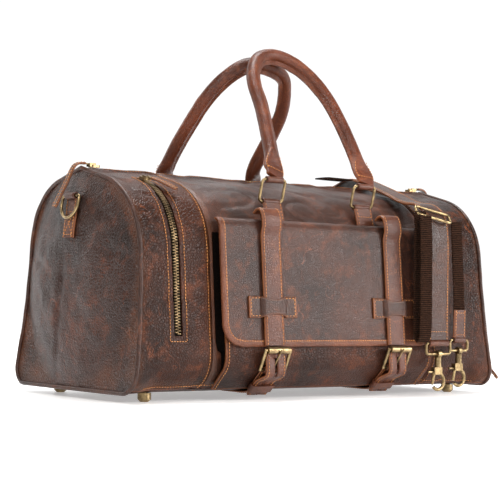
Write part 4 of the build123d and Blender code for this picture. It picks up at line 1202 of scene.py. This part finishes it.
def build_tail(x, which):
    """The strap's tail below its buckle, with a slot that clears the roller and the prong."""
    low, high, slot_half = 3.1, 10.4, 1.9
    points = [slant(1, low + 0.2), slant(12, low), slant(24, low + 0.2), slant(32, 6.3), slant(39, 9.8),
              slant(47, high), (flap_face(63.5, 0.9), 63.5)]
    tail = resample(smooth(in_plane(points), 2), 2.0)
    thick = STRAP_THICK - 0.5
    slot_rows = [i for i, p in enumerate(tail) if BAR[1] - 6.5 < p[2] < BAR[1] + 13.5]
    first, last, end = slot_rows[0], slot_rows[-1], len(tail)
    parts, wear = [], []
    for start, stop, u0, u1 in ((0, end, -STRAP_HALF, -slot_half), (0, end, slot_half, STRAP_HALF),
                                (0, first + 1, -slot_half, slot_half), (last, end, -slot_half, slot_half)):
        if stop - start < 2:
            continue
        profile = np.array(strap_profile((u1 - u0) / 2, thick, 0.0, 7)) + ((u0 + u1) / 2, 0)
        parts.append(sweep(tail[start:stop] + (x, 0, 0), profile, (1, 0, 0)))
        outer = np.abs(profile[:, 0]) > STRAP_HALF - 0.3
        wear.append(np.tile(np.where(outer, 1.0, 0.0), stop - start))
    verts, faces = join(parts)
    verts = verts + np.array([0, -0.3, -0.3]) * rough(verts, 9, 33)[:, None]
    piece(f"tail_{which}", verts, faces, STRAP_HIDE, "root", "strap_leather", ["strap_tails"],
          np.concatenate(wear))
    _, normal = frames(tail, (1, 0, 0))
    sewn = STRAP_HALF - STRAP_SEAM
    rows = [(tail + (x + s * sewn, 0, 0) + normal * (thick + 0.2), normal) for s in (-1, 1)]
    stitch_rows(f"tail_stitches_{which}", rows)


def build_keeper_loop(x, which):
    """Small fixed loop round the tail: a square-cornered band with eased corners."""
    along = np.array([0, -sqrt(0.5), sqrt(0.5)])
    out = np.array([0, -sqrt(0.5), -sqrt(0.5)])
    centre = np.array([x, *slant(13.5, 4.4)])
    corners = []
    for u, v in ((-16.3, -3.2), (16.3, -3.2), (16.3, 3.5), (-16.3, 3.5)):
        for du, dv in ((0, -1.6), (-0.5, -0.5), (-1.6, 0)):
            corners.append(centre + np.array([u + np.sign(u) * du, 0, 0]) + out * (v + np.sign(v) * dv))
    order = sorted(corners, key=lambda p: atan2((p - centre) @ out, (p - centre)[0]))
    band = [(-5.4, -0.8), (5.4, -0.8), (5.4, 0.8), (-5.4, 0.8)]
    verts, faces = sweep(np.array(order), band, along, closed=True)
    piece(f"keeper_loop_{which}", verts, faces, STRAP_HIDE, "root", "strap_leather", ["keeper_loops"])


def build_buckles():
    for sign, which in SIDES:
        build_chape(sign * STRAP_X, which)
        build_tail(sign * STRAP_X, which)
        build_keeper_loop(sign * STRAP_X, which)


# ---- handles and their rings' tabs ---------------------------------------------------------------
RING_X, RING_LOW, RING_HIGH = 74.7, (-108.0, 243.0), (-115.0, 270.0)
RING_FOLD_HALF, GRIP_END = 12.8, 13.0
FRONT_HANDLE = [
    (-74.0, -114.5, 273), (-69, -106, 285), (-60, -82, 324), (-52, -56, 368), (-49, -37, 398),
    (-41, -24, 420), (-24, -13, 438), (-2, -8, 445), (18, -9, 444), (41, -15, 434), (59, -26, 416),
    (72, -41, 391), (78, -60, 360), (80, -79, 329), (80, -98, 298), (79, -110, 281),
    (77.5, -114.3, 273),
]
BACK_HANDLE = [
    (-76.0, 114.5, 273), (-85, 109, 280), (-91, 101, 293), (-87, 84, 322), (-78, 63, 356),
    (-67, 44, 387), (-49, 27, 414), (-23, 14, 433), (10, 13, 434), (43, 20, 425), (58, 32, 406),
    (66, 48, 379), (65, 65, 352), (60, 80, 327), (56, 96, 300), (66, 111, 281), (71, 114.5, 273),
]


def rolled_profile():
    """Leather rolled round a core, its two edges sewn together as a fin on the inner side."""
    points = [(8.3 * cos(a), 8.3 * sin(a)) for a in np.linspace(radians(-70), radians(250), 25)]
    return np.array(points + [(-1.9, -11.8), (-1.3, -12.9), (1.3, -12.9), (1.9, -11.8)])


def flat_profile(wide):
    """The same number of points round a flat tab."""
    angles = list(np.linspace(radians(-70), radians(250), 25)) + [radians(d) for d in (256, 265, 275, 284)]
    points = []
    for a in angles:
        across, along = cos(a), sin(a)
        points.append((2.7 * np.sign(across) * abs(across) ** 0.45,
                       wide * np.sign(along) * abs(along) ** 0.55))
    return np.array(points)


def handle_stitches(path, run, share, turn):
    """A pair of rows across each end of the grip, and a row down each edge of its two tabs."""
    side, normal = frames(path, (0, -1, 0))
    rows = []
    for k in (np.argmax(run > GRIP_END), np.argmax(run > run[-1] - GRIP_END)):
        line = np.linspace(path[k] - normal[k] * 13, path[k] + normal[k] * 13, 14)
        rows += [(line + side[k] * s * 2.8, side[k] * s) for s in (-1, 1)]
    from_end = np.minimum(run, run[-1] - run)
    for start, stop in ((3, 14), (len(path) - 14, len(path) - 3)):
        part = list(range(start, stop))
        offset = (11.4 + 2.2 * eased(from_end[part], 2, 14))[:, None] * (1 - 0.45 * share[part])[:, None]
        lift = side[part] * turn * (2.75 + 4.0 * share[part] ** 1.5)[:, None]
        rows += [(path[part] + normal[part] * offset * u + lift, side[part] * turn) for u in (-1, 1)]
    return rows


def build_handle(name, points, cad, body, ring_y, turn):
    """A rolled grip that flattens into a tab at each end, folded round its ring."""
    path = resample(smooth(points, 2.5), 2.6)
    run = run_of(path)
    from_end = np.minimum(run, run[-1] - run)
    rolled = rolled_profile()
    share = eased(from_end, 14, 44)
    wide = 13.2 + 2.4 * eased(from_end, 2, 14)
    profiles = np.array([flat_profile(w) * (1 - part) + rolled * part for w, part in zip(wide, share)])
    profiles *= 1 + 0.02 * rough(path, 15, 40)[:, None, None]
    verts, faces = sweep(path, profiles, (0, -1, 0))
    wear = np.zeros((len(path), profiles.shape[1]))
    wear[:, -4:] = 0.12 * share[:, None]
    edges = [12, 13, 26, 27]
    wear[:, edges] = np.maximum(wear[:, edges], 0.9 * (1 - share[:, None]) ** 2)
    _, normal = frames(path, (0, -1, 0))
    verts = verts + np.repeat(normal, profiles.shape[1], 0) * (0.22 * rough(verts, 7, 41))[:, None]
    piece(name, verts, faces, GRIP_HIDE, body, "strap_leather", [cad], wear.ravel())
    stitch_rows(name + "_stitches", handle_stitches(path, run, share, turn), body)
    for sign, which in SIDES:
        bar = (sign * RING_X, ring_y, RING_HIGH[1])
        ring_fold(f"{name}_fold_{which}", bar, RING_FOLD_HALF, body)


def build_ring_tabs():
    sewn = 11.4
    for turn, where in ((1, "front"), (-1, "back")):
        path = np.linspace((0, -118.9, 211.5), (0, -110.1, 240.5), 20) * (1, turn, 1)
        side, normal = frames(path, (turn, 0, 0))
        across = np.linspace(-sewn, sewn, 12)[:, None] * side[0]
        for sign, which in SIDES:
            x = sign * RING_X
            name = f"ring_tab_{where}_{which}"
            strap(name, path + (x, 0, 0), (turn, 0, 0), 14.6, 2.9, STRAP_HIDE, "root", "strap_leather",
                  ["handle_tabs"], (-sewn, sewn), seed=50)
            rows = [(path[k] + (x, 0, 0) + across + normal[k] * 3.1, normal[k]) for k in (2, 12)]
            stitch_rows(name + "_cross", rows)
            bar = (x, turn * RING_LOW[0], RING_LOW[1])
            ring_fold(name + "_fold", bar, RING_FOLD_HALF, "root")


def end_bulge(z, left):
    """About how far the end panel stands out under the D ring's tab."""
    return 22.0 * np.sin(np.radians(180 * (z + 10) / 300)) if left else 0.0


def build_dring_tabs():
    sewn, bar_z = 9.3, 243.0
    for sign, which in SIDES:
        left = sign < 0
        z = np.linspace(192, 241, 26)
        path = np.column_stack([sign * (end_x(z) + end_bulge(z, left) + 0.8), 0 * z, z])
        strap(f"dring_tab_{which}", path, (0, sign, 0), 12.3, 2.8, STRAP_HIDE, "root", "strap_leather",
              ["dring_tabs"], (-sewn, sewn), seed=60)
        side, normal = frames(path, (0, sign, 0))
        low, high = path[2] + normal[2] * 3.1, path[16] + normal[16] * 3.1
        wide = sewn * side[0]
        corners = [low - wide, low + wide, high + wide, high - wide]
        crossed = ((0, 1), (2, 3), (0, 2), (1, 3))
        rows = [(np.linspace(corners[a], corners[b], 14), normal[8]) for a, b in crossed]
        stitch_rows(f"dring_tab_cross_{which}", rows)
        bar = (sign * (end_x(bar_z) + end_bulge(bar_z, left) + 5.2), 0, bar_z)
        ring_fold(f"dring_fold_{which}", bar, 11.0, "root", (0, 1, 0), 2.45)


# ---- zip pulls -----------------------------------------------------------------------------------
def leather_pull(name, points, side, body, cad, half=4.6):
    """A leather strip, wider and rounded at its free end."""
    path = resample(smooth(points, 1.5), 1.6)
    run = run_of(path)
    share = run / run[-1]
    tip = np.clip((run[-1] - run + 0.6) / 4.0, 0, 1)
    width = np.sqrt(np.clip(1 - (1 - tip) ** 2, 0.03, 1)) * (0.82 + 0.18 * share)
    sewn = half - 1.7
    obj = strap(name, path, side, half, 2.5, KEEPER_HIDE, body, "strap_leather", [cad], (-sewn, sewn),
                width=width, wobble=0.3, seed=70)
    return [obj, bpy.data.objects[name + "_stitches"]]


def pull_link(name, points, side, body, half=2.0):
    path = resample(smooth(points, 1.5), 1.5)
    verts, faces = sweep(path, strap_profile(half, 1.5, 0.2, 5), side)
    return piece(name, verts, faces, BRASS, body, "antique_brass")


def build_main_pulls():
    """Pulls of the main sliders, hanging over the ends; they flatten as their sliders leave the end."""
    high = RIDGE_Z + 0.5 + 4.5
    for sign, which in SIDES:
        body = "main_pull_" + which
        side = (0, -sign, 0)
        link = [(272.6, high - 0.7), (279, high - 0.7), (287, high - 1.0)]
        strip = [(277.5, high - 1.2), (286, high - 1.6), (293, high - 7),
                 (303, 255), (311, 240), (317.0, 227.5)]
        strip, link = ([(sign * x, 0, z) for x, z in points] for points in (strip, link))
        pieces = leather_pull(f"{which}_pull_leather", strip, side, body, body)
        pieces.append(pull_link(f"{which}_pull_link", link, side, body))
        for obj in pieces:
            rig.squash(obj, f"main_slider_{which}_slide", (0, 0, 1), tuple(place((0, 0, high))[0]), 0.05)


def build_side_pull():
    """Pull of the side slider, skewed a little where it lies on the round shoulder."""
    turn, skew, reach = radians(15), radians(34), SHOULDER_RADIUS + 0.5
    downhill, up = np.array([0, -cos(turn), -sin(turn)]), np.array([0, -sin(turn), cos(turn)])
    bail = np.array([SIDE_ZIP_X, -SHOULDER_Y - reach * sin(turn), SHOULDER_Z + reach * cos(turn)])
    bail = bail + downhill * 7.8 + up * 4.5
    ahead = downhill * cos(skew) + np.array([sin(skew), 0, 0])
    start = bail + downhill * 6.5
    strip = [start + ahead * along - up * drop for along, drop in ((0, 0.8), (9, 1.6), (22, 4.2), (34, 7.2))]
    link = [bail + downhill * 0.9 - up * 0.7, bail + downhill * 4 - up * 0.6, start + ahead * 3]
    leather_pull("side_pull_leather", strip, np.cross(ahead, up), "side_pull", "side_pull")
    pull_link("side_pull_link", link, np.cross(downhill, up), "side_pull", 1.8)


def build_end_pull():
    strip = [(296.5, -99.8, 57.5), (299.5, -102.5, 53.5), (304, -111, 43), (309, -121, 31), (312.5, -130, 20)]
    link = [(295.0, -99.8, 58.2), (297, -100.2, 57.2), (300, -103.5, 52.5)]
    leather_pull("end_pull_leather", strip, (0.62, 0.72, -0.3), "end_pull", "end_pull")
    pull_link("end_pull_link", link, (0, 0.75, -0.6), "end_pull", 1.7)


# ---- shoulder strap ------------------------------------------------------------------------------
FALL_X, FALL_HALF = 166.0, 18.6
RING_A, RING_B = (FALL_X, -161.0, 69.0), (208.5, -156.0, 73.0)
BEND = ((FALL_X, -127, 247), (FALL_X, -153, 236))


def bend_strap(*objs):
    start, end = place(BEND[0])[0], place(BEND[1])[0]
    for obj in objs:
        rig.blend(obj, "root", "strap_fall", start, end)


def build_strap_top():
    """Over the top of the bag and down its front to the first ring."""
    points = [(56, 272), (34, 278.6), (10, 286.0), (-9, 286.4), (-40, 276.4), (-70, 265.6), (-95, 255.5),
              (-112, 250.6), (-126, 249.4), (-136, 246.2), (-146.5, 238.5), (-153.6, 226.5), (-157.4, 205),
              (-158.0, 170), (-158.0, 120), (-158.0, 90), (-158.4, 73.5)]
    path = resample(smooth(in_plane(points, FALL_X), 2.5), 2.6)
    obj = strap("shoulder_strap", path, (-1, 0, 0), FALL_HALF, 3.2, KEEPER_HIDE, None, "strap_leather",
                ["strap_over_top", "strap_pad"], (), wobble=0.8, seed=80)
    side, normal = frames(path, (-1, 0, 0))
    rows = [(path + side * u + normal * 3.4, normal) for u in (-FALL_HALF + 3.6, FALL_HALF - 3.6)]
    low = next(k for k, p in enumerate(path) if p[2] < 84 and p[1] < -148)
    across = side[low] * np.linspace(-15, 15, 14)[:, None]
    rows.append((path[low] + across + normal[low] * 3.4, normal[low]))
    bend_strap(obj, stitch_rows("shoulder_strap_stitches", rows, None))
    ring_fold("strap_fold", RING_A, FALL_HALF - 1.2, "strap_fall", hole=2.4)


def webbing(name, points, x, side, half, seed):
    path = resample(smooth(in_plane(points, x), 2), 2.4)
    strap(name, path, side, half, 1.9, WEBBING_DYE_AND_SHADE, "strap_fall", "webbing_cloth", ["strap_webbing"],
          wobble=0.9, crown=0.1, seed=seed)


def build_webbing():
    """Slack on top of the bag, the doubled webbing at the slide, and the single one to the second ring."""
    loop = [(152, 6.5, 287.9), (135, 6.5, 287.9), (105, 6.5, 288.2)]
    verts, faces = sweep(resample(smooth(loop, 2), 2.5), strap_profile(15, 1.9, 0.3), (0, 1, 0))
    piece("strap_slack", verts, faces, WEBBING_DYE_AND_SHADE, "root", "strap_leather")
    left = [(-156.3, 240), (-156.9, 215), (-157.2, 150), (-157.6, 88), (-159.4, 76), (-162.4, 72.2),
            (-165.4, 76), (-167.3, 88), (-167.0, 150), (-166.2, 205), (-164.0, 234)]
    webbing("webbing_left", left, 135.8, (1, 0, 0), 10.5, 81)
    x, y = RING_B[:2]
    right = [(y + out, z) for out, z in ((8.6, 229), (6.6, 200), (4.6, 170), (2.0, 135), (0.9, 100))]
    webbing("webbing_right", right, x, (-1, 0, 0), 9.9, 82)


def build_strap_end():
    """Leather tab at the end of the webbing, folded round the second ring."""
    x, y = RING_B[:2]
    sewn = 8.0
    tab = in_plane(np.linspace((y - 0.2, 112.5), (y + 0.4, 76.0), 20), x)
    strap("strap_end_leather", tab, (-1, 0, 0), 10.8, 2.4, STRAP_HIDE, "strap_fall", "strap_leather",
          ["strap_end_tab"], (-sewn, sewn), seed=83)
    across = np.linspace(-sewn, sewn, 8)[:, None] * (1, 0, 0)
    rows = [(tab[k] + across + (0, -2.6, 0), (0, -1.0, 0)) for k in (2, 17)]
    stitch_rows("strap_end_cross", rows, "strap_fall")
    ring_fold("strap_end_fold", RING_B, 10.8, "strap_fall", hole=2.4)


# ---- inside --------------------------------------------------------------------------------------
def build_lining():
    """Cloth bag under the leather, slack between its seams, with flat ends."""
    grid = both_halves(steps(0.09, 5.0, 7.0), 8.5, 90, -5.0, lambda flat: 0.5 * rough(flat, 40, 91) - 0.5)
    rows, columns = grid.shape[:2]
    faces = grid_faces(rows, columns)
    faces += [[i * columns + column for i in range(rows)] for column in (0, columns - 1)]
    piece("lining_skin", grid.reshape(-1, 3), faces, LINING_CLOTH, "root", "lining_cloth", ["lining"])


def finish_brass():
    """Brass and board keep their exact shapes and take their finishes here."""
    hidden = {n for o in bpy.data.objects for n in list(o.get("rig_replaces", []))}
    for name, obj in frame["nodes"].items():
        if name in hidden:
            continue
        obj.data.materials.clear()
        obj.data.materials.append(BOARD if name == "base_board" else BRASS)
        for polygon in obj.data.polygons:
            polygon.use_smooth = True
        obj.data.set_sharp_from_angle(angle=radians(35))


# ---- stage ---------------------------------------------------------------------------------------
# the photograph's viewpoint: degrees round from the front, up and rolled, metres, lens in mm
AZIMUTH, PITCH, ROLL, DISTANCE, ASIDE, EYE_Z, LENS = -37.5, 1.796, 1.013, 2.0118, -0.01766, 0.12391, 109.57
LAMP_TARGET = Vector((0, 0, 0.15))
LAMPS = (                                 # name, place, size in metres, watts, colour
    ("key", (-2.5, -1.3, 1.9), 0.7, 54, (1.0, 0.975, 0.94)),
    ("front", (-0.9, -2.9, 1.5), 0.8, 30, (1.0, 0.985, 0.96)),
    ("top", (0.2, 0.3, 2.6), 1.2, 85, (1.0, 1.0, 1.0)),
    ("side", (2.1, -2.5, 1.1), 1.7, 104, (1.0, 0.99, 0.98)),
    ("rim", (-1.3, 2.4, 1.6), 1.4, 20, (1.0, 0.98, 0.95)),
)


def view_axes():
    """Level unit vectors from the bag towards the photograph's viewpoint, and to its right."""
    azimuth = radians(AZIMUTH)
    return Vector((sin(azimuth), -cos(azimuth), 0)), Vector((cos(azimuth), sin(azimuth), 0))


def flat_sheet(name, corners, material):
    mesh = bpy.data.meshes.new(name)
    mesh.from_pydata(corners, [], [[0, 1, 2, 3]])
    mesh.materials.append(material)
    return linked(bpy.data.objects.new(name, mesh))


def build_floor():
    """A wide sheet of white paper, glowing a little."""
    material, tree = shader("floor_paper")
    surface = node(tree, "ShaderNodeBsdfPrincipled", {"Base Color": (0.93, 0.93, 0.93, 1), "Roughness": 0.38})
    surface.inputs["Specular IOR Level"].default_value = 0.4
    surface.inputs["Emission Color"].default_value = (1, 1, 1, 1)
    surface.inputs["Emission Strength"].default_value = 0.36
    show(tree, surface)
    far = 30.0
    return flat_sheet("floor", [(-far, -far, 0), (far, -far, 0), (far, far, 0), (-far, far, 0)], material)


def build_lamp(name, spot, size, power, colour):
    light = bpy.data.lights.new(name, "AREA")
    light.size, light.energy, light.color = size, power, colour
    lamp = linked(bpy.data.objects.new(name, light))
    lamp.location = spot
    aim = LAMP_TARGET - Vector(spot)
    lamp.rotation_euler = aim.to_track_quat("-Z", "Y").to_euler()
    return lamp


def build_stage():
    scene = bpy.context.scene
    world = bpy.data.worlds.new("studio")
    world.use_nodes = True
    world.node_tree.nodes["Background"].inputs[0].default_value = (1.0, 1.0, 1.0, 1)
    world.node_tree.nodes["Background"].inputs[1].default_value = 0.08
    scene.world = world
    lamps = [build_lamp(*row) for row in LAMPS]
    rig.stage(build_floor(), build_backdrop(), *lamps)
    scene.view_settings.view_transform = "Standard"
    scene.view_settings.look = "None"


def build_backdrop():
    """A glowing white wall behind the bag, square to the photograph's view."""
    away, wide, low, high = 6.0, 9.0, -0.5, 6.0
    back, right = view_axes()
    corners = [-back * away + right * u + Vector((0, 0, v))
               for u, v in ((-wide, low), (wide, low), (wide, high), (-wide, high))]
    material, tree = shader("backdrop_glow")
    show(tree, node(tree, "ShaderNodeEmission", {"Color": (1, 1, 1, 1), "Strength": 1.05}))
    return flat_sheet("backdrop", [tuple(c) for c in corners], material)


def build_camera():
    pitch, roll = radians(PITCH), radians(ROLL)
    back, right = view_axes()
    up = Vector((0, 0, 1))
    spot = back * DISTANCE + right * ASIDE + up * EYE_Z + Vector((0, SHIFT_Y * MM, 0))
    forward = -back * cos(pitch) + up * sin(pitch)
    head = back * sin(pitch) + up * cos(pitch)
    across = right * cos(roll) + head * sin(roll)
    head = -right * sin(roll) + head * cos(roll)
    data = bpy.data.cameras.new("photo_view")
    data.lens, data.sensor_width, data.clip_end = LENS, 36.0, 100.0
    camera = linked(bpy.data.objects.new("photo_view", data))
    matrix = Matrix((across, head, -forward)).transposed().to_4x4()
    matrix.translation = spot
    camera.matrix_world = matrix
    bpy.context.scene.camera = camera


build_buckles()
build_handle("front_grip", FRONT_HANDLE, "front_handle", "front_handle", RING_HIGH[0], 1)
build_handle("back_grip", BACK_HANDLE, "back_handle", "back_handle", -RING_HIGH[0], -1)
build_ring_tabs()
build_dring_tabs()
build_main_pulls()
build_side_pull()
build_end_pull()
build_strap_top()
build_webbing()
build_strap_end()
build_lining()
finish_brass()
build_stage()
build_camera()

OBJECT_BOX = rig.bounds()
with open("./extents.json", "w") as size_file:
    json.dump({"cad": [list(corner) for corner in CAD_BOX], "scene": [list(corner) for corner in OBJECT_BOX]},
              size_file)
